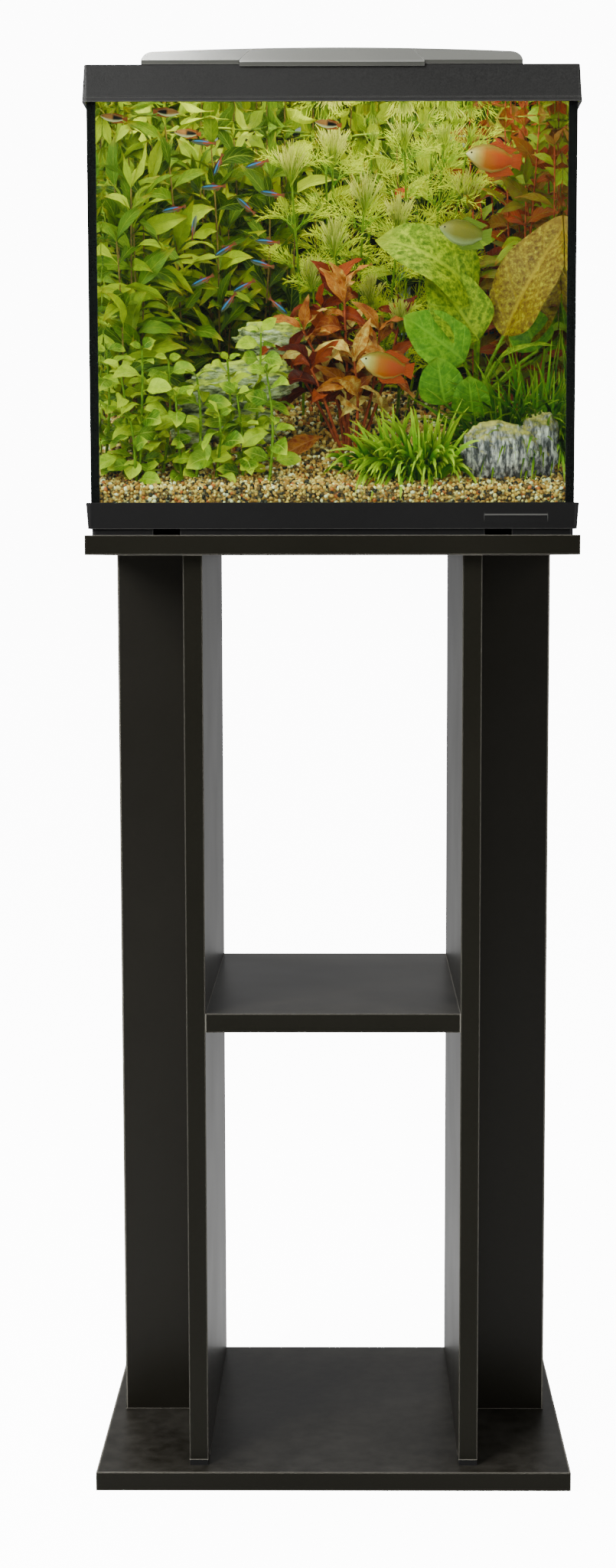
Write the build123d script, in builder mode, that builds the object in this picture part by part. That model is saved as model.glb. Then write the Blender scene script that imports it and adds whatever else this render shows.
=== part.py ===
"""An aquarium on an open stand: a 40 cm glass tank with hood, light, filter, heater and planting,
on a knock-down stand of black 16 mm board. Millimetres, +Z up, front towards -Y, origin at the
middle of the stand's footprint on the floor."""

import math
import os

from build123d import *

os.makedirs("parts", exist_ok=True)

# ---------------------------------------------------------------- stand sizes
STAND_WIDTH = 400.0
STAND_DEPTH = 300.0
STAND_HEIGHT = 800.0
BOARD = 16.0  # thickness of every board
EDGING = 1.0  # thickness of the edge band glued round a board
EDGE_ROUND = 0.6
LEG_SPACING = 212.0  # clear width between the two fins
FIN_SETBACK = 15.0  # front edge of fins and shelf behind the base's front edge
WING_REACH = 66.5  # how far a wing stands out from its fin
LOWER_BAY = 373.0  # clear height under the shelf
SHOE_HEIGHT = 5.0  # black protector under the front end of each fin
SHOE_LENGTH = 22.0
SHOE_INSET = 0.5

# fasteners
DOWEL_RADIUS = 4.0
DOWEL_LENGTH = 29.0
DOWEL_INTO_FACE = 10.0
DOWEL_CLEAR = 0.1
WING_DOWEL_SHARES = (0.2, 0.5, 0.8)  # heights of the wing dowels along the wing
SHELF_DOWEL_MARGIN = 30.0
SCREW_HEAD_RADIUS = 5.0
SCREW_HEAD_HEIGHT = 3.0
SCREW_SHANK_RADIUS = 3.5
SCREW_CORE_RADIUS = 2.5
SCREW_LENGTH = 50.0
SCREW_POINT = 3.0
SCREW_SOCKET_RADIUS = 2.3
SCREW_SOCKET_DEPTH = 2.0
SCREW_CLEAR = 0.1
SCREW_END_MARGIN = 38.0  # from a fin's front or back edge to its screw
CAM_RADIUS = 7.5
CAM_DEPTH = 12.5
CAM_SINK = 0.3
CROSS_LENGTH = 7.0
CROSS_WIDTH = 1.4
SHELF_CAM_MARGIN = 70.0
CAM_INSET = 24.0  # from the shelf's end to the cam's centre
BOLT_RADIUS = 3.0
BOLT_INTO_FIN = 11.0
BOLT_CORE_RADIUS = 2.5
BOLT_NECK = 3.0
END_PLAY = 0.5  # a blind hole is this much deeper than what goes in it

# ---------------------------------------------------------------- tank sizes
TANK_INSET = 5.0  # the glass stands this far in from the stand's edges
GLASS_HEIGHT = 345.0
GLASS = 4.0
JOINT = 1.0  # silicone between two panes
BEAD = 3.0  # leg of the silicone fillet in each corner
GLASS_CHAMFER = 0.4
SKIRT_HEIGHT = 5.0  # recessed plinth under the bottom trim
SKIRT_RECESS = 3.0
SKIRT_NOTCH = 22.0
SKIRT_NOTCH_OFFSET = 134.0
TRIM_FACE = 21.0  # height of the trim's flared face
TRIM_WALL = 3.5
TRIM_FLARE = 1.5  # the face leans out by this much from bottom to top
TRIM_LEDGE = 2.0
TRIM_LEDGE_REACH = 14.0
TRIM_CLEAR = 0.5
TRIM_CORNER = 3.0
BADGE_WIDTH = 51.0
BADGE_HEIGHT = 17.0
BADGE_DEPTH = 0.8
BADGE_OFFSET = 148.0
FILM = 0.3  # dark film behind the back pane
FILM_MARGIN = 4.0

# ---------------------------------------------------------------- hood sizes
HOOD_OVERLAP = 11.0  # the hood's skirt reaches this far down over the glass
HOOD_HEIGHT = 29.0
HOOD_WALL = 2.3
HOOD_FLARE = 2.0
HOOD_CLEAR = 1.0
HOOD_CORNER = 4.0
HOOD_TOP_ROUND = 1.2
FLANGE = 2.0  # the inner shelf that sits on the glass
FLANGE_REACH = 6.0  # how far it reaches inside the glass
SHADOW_LINE = 0.6  # groove above the hood's lower lip
LIP_HEIGHT = 3.0
CANOPY_WIDTH = 302.0
CANOPY_DEPTH = 190.0
CANOPY_RISE = 15.5
CANOPY_END_RISE = 11.0
CANOPY_WALL = 2.0
CANOPY_ROUND = 9.0
CANOPY_TAIL = 20.0  # run of the sloping rear
CANOPY_SLOPE = 13.0  # run of the sloping front
CANOPY_NOSE = 3.0  # upright strip below the slope
FLAP_FRONT_HALF = 73.0
FLAP_BACK_HALF = 63.0
FLAP_GAP = 0.5
FLAP_LENGTH = 122.0  # front of the canopy to the hinge axis
LIP_OUT = 2.4  # the flap's finger lip stands this far in front of the canopy
LIP_DROP = 2.0
BARREL_RADIUS = 3.8
BARREL_DROP = 5.0  # hinge axis below the top of the canopy
PIN_RADIUS = 1.2
PIN_CLEAR = 0.05
EAR = 5.0
PEG_RADIUS = 2.0
PEG_INSET = 14.0  # canopy pegs in from its ends
HATCH_WIDTH = 104.0
HATCH_MARGIN = 12.0
VENT_COUNT = 9
VENT_LENGTH = 30.0
VENT_WIDTH = 3.0
VENT_PITCH = 9.0
CABLE_NOTCH_WIDTH = 14.0
CABLE_NOTCH_HEIGHT = 9.0
CABLE_NOTCH_OFFSET = 110.0

# light bar under the hood's roof
LIGHT_PAST_CANOPY = 9.0  # each end of the light bar lies this far outside the canopy
LIGHT_WIDTH = 46.0
LIGHT_HEIGHT = 13.0
LIGHT_WALL = 1.6
LIGHT_CENTRE_Y = 36.0
LIGHT_TAB = 12.0
LENS = 2.0
CIRCUIT_BOARD = 1.6
LED_COUNT = 14
LED_SIZE = 5.0
LED_HEIGHT = 1.2
LED_ROWS = 2
LIGHT_SCREW_RADIUS = 1.5
LIGHT_SCREW_HEAD = 2.8

# ---------------------------------------------------------------- inside the tank
GRAVEL_FRONT = 26.0
GRAVEL_STEP = 36.0
GRAVEL_REAR = 112.0
GRAVEL_BACK = 118.0
GRAVEL_STEP_RUN = 41.0
GRAVEL_REAR_RUN = 51.0

FILTER_WIDTH = 44.0
FILTER_DEPTH = 48.0
FILTER_BODY_HEIGHT = 100.0
FILTER_HEAD_HEIGHT = 42.0
FILTER_WALL = 2.0
FILTER_ACROSS = 0.796  # its middle, as a share of the tank's inner half width
FILTER_ABOVE_GRAVEL = 8.0
FILTER_OFF_BACK = 8.0
SPONGE_CLEAR = 0.4
ROTOR_RADIUS = 6.0
ROTOR_HEIGHT = 16.0
ROTOR_CLEAR = 1.0
BLADE_RADIUS = 10.0
BLADE_HEIGHT = 6.0
BLADE_COUNT = 6
BLADE_THICKNESS = 1.2
SHAFT_RADIUS = 1.0
SHAFT_CLEAR = 0.05
TURRET_RADIUS = 9.0
TURRET_HEIGHT = 11.0
TURRET_MARGIN = 1.0
SPOUT_LENGTH = 26.0
SPOUT_RADIUS = 5.0
SPOUT_BORE = 3.5
DUCT_RADIUS = 2.5
DIAL_RADIUS = 6.0
DIAL_HEIGHT = 6.0
DIAL_MARGIN = 3.0
RUNNING_CLEAR = 0.3
CUP_RADIUS = 11.0

HEATER_ACROSS = 0.325  # its middle, as a share of the tank's inner half width
HEATER_RADIUS = 10.5
HEATER_WALL = 1.3
HEATER_LENGTH = 140.0
HEATER_CAP_HEIGHT = 26.0
HEATER_ELEMENT_RADIUS = 6.0
HEATER_DIAL_RADIUS = 8.0
HEATER_DIAL_HEIGHT = 9.0
HEATER_OFF_BACK = 10.0
HEATER_ABOVE_GRAVEL = 10.0

SOFT_GAP = 0.3  # between something soft or loose and its neighbour
PLATE = 3.0
FILTER_CORNER = 5.0
SLOT_PITCH = 9.0
SLOT_WIDTH = 3.0
SLOT_COUNT = 9
INTAKE_RING = 5.5
INTAKE_COUNT = 5
INTAKE_RADIUS = 2.0
SHAFT_SEAT = 4.0
NECK_RADIUS = 6.0
NECK_DEPTH = 4.0
DIAL_STEM = 2.0
DIAL_STEM_DEPTH = 7.0
DIAL_RIB = 1.6
GLAND_INSET = 9.0
GLAND_RADIUS = 4.0
GLAND_HEIGHT = 7.0
CUP_STALK = 3.0
CUP_STALK_SHARE = 0.4  # of the way from what it carries to the glass
CUP_RIM = 1.5
HEATER_SOCKET = 9.0
HEATER_CAP_WALL = 1.8
HEATER_COLLAR = 3.0
HOLDER_WALL = 2.0
HOLDER_HEIGHT = 7.0
HOLDER_SHARES = (0.25, 0.75)  # heights of the two rings along the tube

# Stones and bushes are placed by plan: (across, deep, half width, half depth, height, lean, phase).
# Places and half sizes are shares of the tank's inner half width and half depth, the height is a
# share of the room from the gravel to the water, the lean is a share of the half width, and the
# phase turns the uneven outline.
WATER_BELOW_HOOD = 5.0
LUMP_SIDES = 9
STONE_ROUGHNESS = 0.11
BUSH_ROUGHNESS = 0.05
# sections from the foot up: (level, swell)
STONE_SECTIONS = ((0.0, 0.86), (0.45, 1.0), (0.82, 0.8), (1.0, 0.45))
BUSH_SECTIONS = ((0.0, 0.45), (0.3, 0.6), (0.55, 1.0), (0.8, 0.95), (0.96, 0.55), (1.0, 0.15))
STONES = {
    "moss_stones": [
        (-0.43, -0.12, 0.220, 0.120, 0.28, 0.042, 0.4),
        (-0.27, 0.16, 0.140, 0.085, 0.41, -0.031, 2.1),
    ],
    "slate_stones": [
        (0.68, -0.74, 0.110, 0.099, 0.16, 0.021, 1.2),
        (0.88, -0.66, 0.084, 0.092, 0.20, -0.016, 3.0),
    ],
}
# a bush is (across, deep, half width, height); its half depth follows from its half width
BUSH_DEPTH_SHARE = 1.35
PLANTING = {
    "left_stem_plants": [
        (-0.86, 0.78, 0.115, 0.97),
        (-0.60, 0.80, 0.115, 0.95),
        (-0.36, 0.82, 0.105, 0.90),
        (-0.74, 0.42, 0.115, 0.99),
        (-0.48, 0.46, 0.105, 0.92),
        (-0.88, 0.10, 0.094, 0.97),
        (-0.89, -0.30, 0.084, 0.94),
    ],
    "round_leaf_plants": [
        (-0.85, -0.76, 0.115, 0.38),
        (-0.60, -0.62, 0.105, 0.33),
        (-0.38, -0.66, 0.094, 0.25),
        (-0.17, -0.74, 0.079, 0.17),
    ],
    "feathery_plants": [
        (-0.12, 0.66, 0.105, 0.98),
        (0.10, 0.58, 0.105, 0.92),
        (-0.02, 0.28, 0.089, 0.81),
        (0.18, 0.86, 0.068, 0.91),
        (0.52, 0.46, 0.105, 0.92),
        (0.30, 0.34, 0.094, 0.78),
    ],
    "red_plant": [(-0.05, -0.16, 0.089, 0.39), (0.13, -0.10, 0.089, 0.49)],
    "right_red_plants": [(0.86, 0.24, 0.099, 0.96), (0.68, 0.22, 0.079, 0.87)],
    "sword_plant": [
        (0.38, -0.12, 0.115, 0.50),
        (0.62, -0.16, 0.115, 0.47),
        (0.86, -0.16, 0.105, 0.51),
    ],
    "front_grass": [
        (0.07, -0.62, 0.089, 0.22),
        (0.26, -0.70, 0.089, 0.24),
        (0.44, -0.60, 0.073, 0.19),
    ],
    "right_grass": [
        (0.60, -0.45, 0.047, 0.22),
        (0.78, -0.42, 0.047, 0.23),
        (0.92, -0.42, 0.047, 0.21),
    ],
}

# ---------------------------------------------------------------- derived places
base_top = BOARD
roof_bottom = STAND_HEIGHT - BOARD
fin_inner = LEG_SPACING / 2
fin_outer = fin_inner + BOARD
wing_outer = fin_outer + WING_REACH
fin_front = -STAND_DEPTH / 2 + FIN_SETBACK
fin_back = STAND_DEPTH / 2
shelf_bottom = base_top + LOWER_BAY
shelf_top = shelf_bottom + BOARD
screw_rows = (fin_front + SCREW_END_MARGIN, fin_back - SCREW_END_MARGIN)
wing_dowel_heights = [base_top + (roof_bottom - base_top) * share for share in WING_DOWEL_SHARES]
wing_middle = fin_outer + WING_REACH / 2
shelf_dowel_row = (fin_front + SHELF_DOWEL_MARGIN, fin_back - SHELF_DOWEL_MARGIN)
shelf_cam_row = (fin_front + SHELF_CAM_MARGIN, fin_back - SHELF_CAM_MARGIN)
shelf_middle_z = shelf_bottom + BOARD / 2

trim_bottom = STAND_HEIGHT + SKIRT_HEIGHT
trim_top = trim_bottom + TRIM_FACE
glass_bottom = trim_bottom + TRIM_LEDGE
glass_top = glass_bottom + GLASS_HEIGHT
glass_x = STAND_WIDTH / 2 - TANK_INSET
glass_y = STAND_DEPTH / 2 - TANK_INSET
inner_x = glass_x - GLASS
inner_y = glass_y - GLASS
floor_z = glass_bottom + GLASS
trim_half_x = glass_x + TRIM_CLEAR + TRIM_WALL
trim_half_y = glass_y + TRIM_CLEAR + TRIM_WALL

hood_bottom = glass_top - HOOD_OVERLAP
hood_top = hood_bottom + HOOD_HEIGHT
water_z = hood_bottom - WATER_BELOW_HOOD
hood_roof = hood_top - HOOD_WALL
hood_half_x = glass_x + HOOD_CLEAR + HOOD_WALL
hood_half_y = glass_y + HOOD_CLEAR + HOOD_WALL
hood_taper = math.degrees(math.atan(HOOD_FLARE / HOOD_HEIGHT))
canopy_front = -(hood_half_y - HOOD_FLARE)
canopy_back = canopy_front + CANOPY_DEPTH
hinge_y = canopy_front + FLAP_LENGTH
hinge_z = hood_top + CANOPY_RISE - BARREL_DROP
light_bottom = hood_roof - LIGHT_HEIGHT
light_x = CANOPY_WIDTH / 2 + LIGHT_PAST_CANOPY

filter_x = FILTER_ACROSS * inner_x
heater_x = HEATER_ACROSS * inner_x
filter_back = inner_y - FILTER_OFF_BACK
filter_y = filter_back - FILTER_DEPTH / 2
heater_y = inner_y - HEATER_OFF_BACK - HEATER_RADIUS


bed_x = inner_x - SOFT_GAP
bed_y = inner_y - SOFT_GAP
bed_corners = [
    (-bed_y, GRAVEL_FRONT),
    (-inner_y + GRAVEL_STEP_RUN, GRAVEL_STEP),
    (inner_y - GRAVEL_REAR_RUN, GRAVEL_REAR),
    (bed_y, GRAVEL_BACK),
]


def gravel_height(y):
    """Height of the gravel's surface above the floor pane, at a depth y."""
    for (y0, h0), (y1, h1) in zip(bed_corners, bed_corners[1:]):
        if y <= y1:
            return h0 + (h1 - h0) * (y - y0) / (y1 - y0)
    return GRAVEL_BACK


filter_bottom = floor_z + GRAVEL_BACK + FILTER_ABOVE_GRAVEL
filter_head_z = filter_bottom + FILTER_BODY_HEIGHT
heater_bottom = floor_z + GRAVEL_BACK + HEATER_ABOVE_GRAVEL


# ---------------------------------------------------------------- helpers
ON_END = (Align.CENTER, Align.CENTER, Align.MIN)


def save(piece, name):
    """Labels a finished piece and writes it as its own STEP file."""
    piece.part.label = name
    export_step(piece.part, f"parts/{name}.step")


def drill(start, direction, radius, depth):
    """Cuts a blind round hole from a point along a direction."""
    with Locations(Plane(origin=start, z_dir=direction).location):
        Cylinder(radius, depth, align=ON_END, mode=Mode.SUBTRACT)


def rod(start, direction, radius, length):
    """Adds a round bar from a point along a direction."""
    with Locations(Plane(origin=start, z_dir=direction).location):
        Cylinder(radius, length, align=ON_END)


def block(low, high, mode=Mode.ADD):
    """A box between two corners."""
    size = [b - a for a, b in zip(low, high)]
    middle = [(a + b) / 2 for a, b in zip(low, high)]
    with Locations(tuple(middle)):
        Box(*size, mode=mode)


# ---------------------------------------------------------------- stand: base and top boards
wing_dowel_x = [side * wing_middle for side in (-1, 1)]
screw_places = [(side * (fin_inner + BOARD / 2), y) for side in (-1, 1) for y in screw_rows]
board_core = (STAND_WIDTH - 2 * EDGING, STAND_DEPTH - 2 * EDGING)

for name, bottom, outside, inside in (
    ("base_board", 0.0, -1, base_top),
    ("top_board", roof_bottom, 1, roof_bottom),
):
    outer_face = bottom if outside < 0 else bottom + BOARD
    with BuildPart() as board:
        with BuildSketch(Plane.XY.offset(bottom)):
            Rectangle(*board_core)
        extrude(amount=BOARD)
        for x, y in screw_places:
            with Locations(Plane(origin=(x, y, outer_face), z_dir=(0, 0, outside)).location):
                CounterSinkHole(
                    SCREW_SHANK_RADIUS + SCREW_CLEAR, SCREW_HEAD_RADIUS + SCREW_CLEAR
                )
        for x in wing_dowel_x:
            drill((x, 0, inside), (0, 0, outside), DOWEL_RADIUS + DOWEL_CLEAR, DOWEL_INTO_FACE)
    save(board, name)

    with BuildPart() as edging:
        with BuildSketch(Plane.XY.offset(bottom)):
            Rectangle(STAND_WIDTH, STAND_DEPTH)
            Rectangle(*board_core, mode=Mode.SUBTRACT)
        extrude(amount=BOARD)
        outer_edges = [
            e
            for e in edging.edges()
            if abs(e.center().X) > board_core[0] / 2 + EDGING / 2
            or abs(e.center().Y) > board_core[1] / 2 + EDGING / 2
        ]
        fillet(outer_edges, EDGE_ROUND)
    save(edging, name.replace("board", "edging"))

# ---------------------------------------------------------------- stand: fins, wings and shelf
fin_core_front = fin_front + EDGING
fin_core_back = fin_back - EDGING

for side, name in ((-1, "left"), (1, "right")):
    fin_middle = side * (fin_inner + BOARD / 2)
    fin_face = side * fin_inner
    fin_outer_face = side * fin_outer
    with BuildPart() as fin:
        block(
            (min(fin_face, fin_outer_face), fin_core_front, base_top),
            (max(fin_face, fin_outer_face), fin_core_back, roof_bottom),
        )
        # the front foot is cut back for its protector
        block(
            (-STAND_WIDTH, fin_front, base_top),
            (STAND_WIDTH, fin_front + SHOE_LENGTH, base_top + SHOE_HEIGHT),
            Mode.SUBTRACT,
        )
        pilot = SCREW_LENGTH - BOARD + END_PLAY
        for y in screw_rows:
            drill((fin_middle, y, base_top), (0, 0, 1), SCREW_CORE_RADIUS + SCREW_CLEAR, pilot)
            drill((fin_middle, y, roof_bottom), (0, 0, -1), SCREW_CORE_RADIUS + SCREW_CLEAR, pilot)
        for z in wing_dowel_heights:
            drill((fin_outer_face, 0, z), (-side, 0, 0), DOWEL_RADIUS + DOWEL_CLEAR, DOWEL_INTO_FACE)
        for y in shelf_dowel_row:
            drill(
                (fin_face, y, shelf_middle_z),
                (side, 0, 0),
                DOWEL_RADIUS + DOWEL_CLEAR,
                DOWEL_INTO_FACE,
            )
        for y in shelf_cam_row:
            drill(
                (fin_face, y, shelf_middle_z),
                (side, 0, 0),
                BOLT_CORE_RADIUS + SCREW_CLEAR,
                BOLT_INTO_FIN,
            )
    save(fin, f"{name}_fin")

    wing_core_outer = side * (wing_outer - EDGING)
    with BuildPart() as wing:
        block(
            (min(fin_outer_face, wing_core_outer), -BOARD / 2, base_top),
            (max(fin_outer_face, wing_core_outer), BOARD / 2, roof_bottom),
        )
        into_edge = DOWEL_LENGTH - DOWEL_INTO_FACE + 2 * END_PLAY
        for z in wing_dowel_heights:
            drill((fin_outer_face, 0, z), (side, 0, 0), DOWEL_RADIUS + DOWEL_CLEAR, into_edge)
        drill(
            (side * wing_middle, 0, base_top), (0, 0, 1), DOWEL_RADIUS + DOWEL_CLEAR, into_edge
        )
        drill(
            (side * wing_middle, 0, roof_bottom), (0, 0, -1), DOWEL_RADIUS + DOWEL_CLEAR, into_edge
        )
    save(wing, f"{name}_wing")

with BuildPart() as shelf:
    block((-fin_inner, fin_core_front, shelf_bottom), (fin_inner, fin_core_back, shelf_top))
    for side in (-1, 1):
        end = side * fin_inner
        into_edge = DOWEL_LENGTH - DOWEL_INTO_FACE + 2 * END_PLAY
        for y in shelf_dowel_row:
            drill((end, y, shelf_middle_z), (-side, 0, 0), DOWEL_RADIUS + DOWEL_CLEAR, into_edge)
        for y in shelf_cam_row:
            drill((end, y, shelf_middle_z), (-side, 0, 0), BOLT_RADIUS + SCREW_CLEAR, CAM_INSET)
            drill(
                (end - side * CAM_INSET, y, shelf_bottom),
                (0, 0, 1),
                CAM_RADIUS + SCREW_CLEAR,
                CAM_DEPTH,
            )
save(shelf, "shelf")


def edge_strip(low, high, axis, outside):
    """A length of edge band between two corners, with the long edges of its outer face rounded."""
    with BuildPart() as band:
        block(low, high)
        long_edges = band.edges().filter_by(Axis.Z if axis == "Z" else Axis.X)
        showing = long_edges.sort_by(outside)[-2:]
        fillet(showing, EDGE_ROUND)
    return band.part


front_dir = Axis((0, 0, 0), (0, -1, 0))
back_dir = Axis((0, 0, 0), (0, 1, 0))

fin_strips = []
wing_strips = []
for side in (-1, 1):
    low_x, high_x = sorted((side * fin_inner, side * fin_outer))
    fin_strips.append(
        edge_strip(
            (low_x, fin_front, base_top + SHOE_HEIGHT),
            (high_x, fin_core_front, roof_bottom),
            "Z",
            front_dir,
        )
    )
    fin_strips.append(
        edge_strip((low_x, fin_core_back, base_top), (high_x, fin_back, roof_bottom), "Z", back_dir)
    )
    low_x, high_x = sorted((side * (wing_outer - EDGING), side * wing_outer))
    wing_strips.append(
        edge_strip(
            (low_x, -BOARD / 2, base_top),
            (high_x, BOARD / 2, roof_bottom),
            "Z",
            Axis((0, 0, 0), (side, 0, 0)),
        )
    )

with BuildPart() as fin_edging:
    for piece in fin_strips:
        add(piece)
save(fin_edging, "fin_edging")

with BuildPart() as wing_edging:
    for piece in wing_strips:
        add(piece)
save(wing_edging, "wing_edging")

shelf_strips = [
    edge_strip(
        (-fin_inner, fin_front, shelf_bottom), (fin_inner, fin_core_front, shelf_top), "X", front_dir
    ),
    edge_strip(
        (-fin_inner, fin_core_back, shelf_bottom), (fin_inner, fin_back, shelf_top), "X", back_dir
    ),
]
with BuildPart() as shelf_edging:
    for piece in shelf_strips:
        add(piece)
save(shelf_edging, "shelf_edging")

with BuildPart() as fin_shoes:
    for side in (-1, 1):
        low_x, high_x = sorted((side * (fin_inner + SHOE_INSET), side * (fin_outer - SHOE_INSET)))
        block(
            (low_x, fin_front + SHOE_INSET, base_top),
            (high_x, fin_front + SHOE_LENGTH, base_top + SHOE_HEIGHT),
        )
save(fin_shoes, "fin_shoes")

# ---------------------------------------------------------------- stand: fasteners
with BuildPart() as joint_screw:
    with BuildSketch(Plane.XZ):
        Polygon(
            (0, 0),
            (SCREW_HEAD_RADIUS, 0),
            (SCREW_SHANK_RADIUS, -SCREW_HEAD_HEIGHT / 2),
            (SCREW_SHANK_RADIUS, -(BOARD - END_PLAY)),
            (SCREW_CORE_RADIUS, -BOARD),
            (SCREW_CORE_RADIUS, -(SCREW_LENGTH - SCREW_POINT)),
            (SCREW_CORE_RADIUS / 4, -SCREW_LENGTH),
            (0, -SCREW_LENGTH),
            align=None,
        )
    revolve(axis=Axis.Z)
    with BuildSketch(Plane.XY):
        RegularPolygon(SCREW_SOCKET_RADIUS, 6)
    extrude(amount=-SCREW_SOCKET_DEPTH, mode=Mode.SUBTRACT)

with BuildPart() as stand_screws:
    for x, y in screw_places:
        with Locations(Plane(origin=(x, y, 0), z_dir=(0, 0, -1)).location):
            add(joint_screw.part)
        with Locations((x, y, STAND_HEIGHT)):
            add(joint_screw.part)
save(stand_screws, "stand_screws")

with BuildPart() as stand_dowels:
    dowel_into = DOWEL_INTO_FACE - END_PLAY
    for side in (-1, 1):
        for z in wing_dowel_heights:
            rod((side * (fin_outer - dowel_into), 0, z), (side, 0, 0), DOWEL_RADIUS, DOWEL_LENGTH)
        for y in shelf_dowel_row:
            rod(
                (side * (fin_inner + dowel_into), y, shelf_middle_z),
                (-side, 0, 0),
                DOWEL_RADIUS,
                DOWEL_LENGTH,
            )
        rod((side * wing_middle, 0, base_top - dowel_into), (0, 0, 1), DOWEL_RADIUS, DOWEL_LENGTH)
        rod(
            (side * wing_middle, 0, roof_bottom + dowel_into), (0, 0, -1), DOWEL_RADIUS, DOWEL_LENGTH
        )
save(stand_dowels, "stand_dowels")

bolt_reach = CAM_INSET - CAM_RADIUS - SCREW_CLEAR
with BuildPart() as cam_bolt:
    # thread, collar, neck and head, along +Z from the fin's face
    with BuildSketch(Plane.XZ):
        Polygon(
            (0, -(BOLT_INTO_FIN - END_PLAY)),
            (BOLT_CORE_RADIUS, -(BOLT_INTO_FIN - END_PLAY)),
            (BOLT_CORE_RADIUS, 0),
            (BOLT_RADIUS, 0),
            (BOLT_RADIUS, bolt_reach),
            (BOLT_CORE_RADIUS / 2, bolt_reach),
            (BOLT_CORE_RADIUS / 2, bolt_reach + BOLT_NECK),
            (BOLT_CORE_RADIUS, bolt_reach + BOLT_NECK + BOLT_CORE_RADIUS / 2),
            (BOLT_CORE_RADIUS, bolt_reach + 2 * BOLT_NECK),
            (0, bolt_reach + 2 * BOLT_NECK),
            align=None,
        )
    revolve(axis=Axis.Z)

with BuildPart() as shelf_bolts:
    for side in (-1, 1):
        for y in shelf_cam_row:
            seat = Plane(origin=(side * fin_inner, y, shelf_middle_z), z_dir=(-side, 0, 0))
            with Locations(seat.location):
                add(cam_bolt.part)
save(shelf_bolts, "shelf_bolts")

with BuildPart() as shelf_cams:
    for side in (-1, 1):
        for y in shelf_cam_row:
            centre = side * (fin_inner - CAM_INSET)
            rod((centre, y, shelf_bottom), (0, 0, 1), CAM_RADIUS, CAM_DEPTH - CAM_SINK)
            # the pocket that grips the bolt's head, and the driver's cross
            drill(
                (centre + side * CAM_RADIUS, y, shelf_middle_z),
                (-side, 0, 0),
                BOLT_CORE_RADIUS + 2 * CAM_SINK,
                CAM_RADIUS + BOLT_CORE_RADIUS,
            )
            for length, width in ((CROSS_LENGTH, CROSS_WIDTH), (CROSS_WIDTH, CROSS_LENGTH)):
                block(
                    (centre - length / 2, y - width / 2, shelf_bottom),
                    (centre + length / 2, y + width / 2, shelf_bottom + CROSS_WIDTH),
                    Mode.SUBTRACT,
                )
save(shelf_cams, "shelf_cams")

# ---------------------------------------------------------------- tank: glass and silicone
pane_deep = 2 * (inner_y - JOINT)


def pane(name, low, high):
    """One sheet of glass with its long edges seamed."""
    with BuildPart() as sheet:
        block(low, high)
        chamfer(sheet.edges().filter_by(Axis.Z), GLASS_CHAMFER)
        chamfer(sheet.faces().sort_by(Axis.Z)[-1].edges(), GLASS_CHAMFER)
    save(sheet, name)


for side, name in ((-1, "front_pane"), (1, "back_pane")):
    low_y, high_y = sorted((side * inner_y, side * glass_y))
    pane(name, (-glass_x, low_y, glass_bottom), (glass_x, high_y, glass_top))
for side, name in ((-1, "left_pane"), (1, "right_pane")):
    low_x, high_x = sorted((side * inner_x, side * glass_x))
    pane(name, (low_x, -pane_deep / 2, glass_bottom), (high_x, pane_deep / 2, glass_top))
with BuildPart() as floor_pane:
    block(
        (-(inner_x - JOINT), -pane_deep / 2, glass_bottom),
        (inner_x - JOINT, pane_deep / 2, floor_z),
    )
save(floor_pane, "floor_pane")

with BuildPart() as tank_hollow:
    # the room inside the panes, with its corners and its floor's edges rounded off by silicone
    block((-inner_x, -inner_y, floor_z), (inner_x, inner_y, glass_top))
    rounded = tank_hollow.edges().filter_by(Axis.Z) + tank_hollow.faces().sort_by(Axis.Z)[0].edges()
    chamfer(rounded, BEAD)

with BuildPart() as silicone_seams:
    # fillets in the upright corners and round the floor
    block((-inner_x, -inner_y, floor_z), (inner_x, inner_y, glass_top))
    add(tank_hollow.part, mode=Mode.SUBTRACT)
    # the layer round the floor pane
    with BuildSketch(Plane.XY.offset(glass_bottom)):
        Rectangle(2 * inner_x, 2 * inner_y)
        Rectangle(2 * (inner_x - JOINT), 2 * (inner_y - JOINT), mode=Mode.SUBTRACT)
    extrude(amount=GLASS)
    # the layer between side panes and front and back panes
    for side_x in (-1, 1):
        for side_y in (-1, 1):
            low_x, high_x = sorted((side_x * inner_x, side_x * glass_x))
            low_y, high_y = sorted((side_y * pane_deep / 2, side_y * inner_y))
            block((low_x, low_y, glass_bottom), (high_x, high_y, glass_top))
save(silicone_seams, "silicone_seams")

with BuildPart() as background_film:
    block(
        (-(glass_x - FILM_MARGIN), glass_y, trim_top + FILM_MARGIN),
        (glass_x - FILM_MARGIN, glass_y + FILM, hood_bottom - FILM_MARGIN),
    )
save(background_film, "background_film")

# ---------------------------------------------------------------- tank: bottom trim
trim_taper = math.degrees(math.atan(TRIM_FLARE / TRIM_FACE))
trim_foot_x = trim_half_x - TRIM_FLARE
trim_foot_y = trim_half_y - TRIM_FLARE
skirt_x = trim_foot_x - SKIRT_RECESS
skirt_y = trim_foot_y - SKIRT_RECESS

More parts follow.
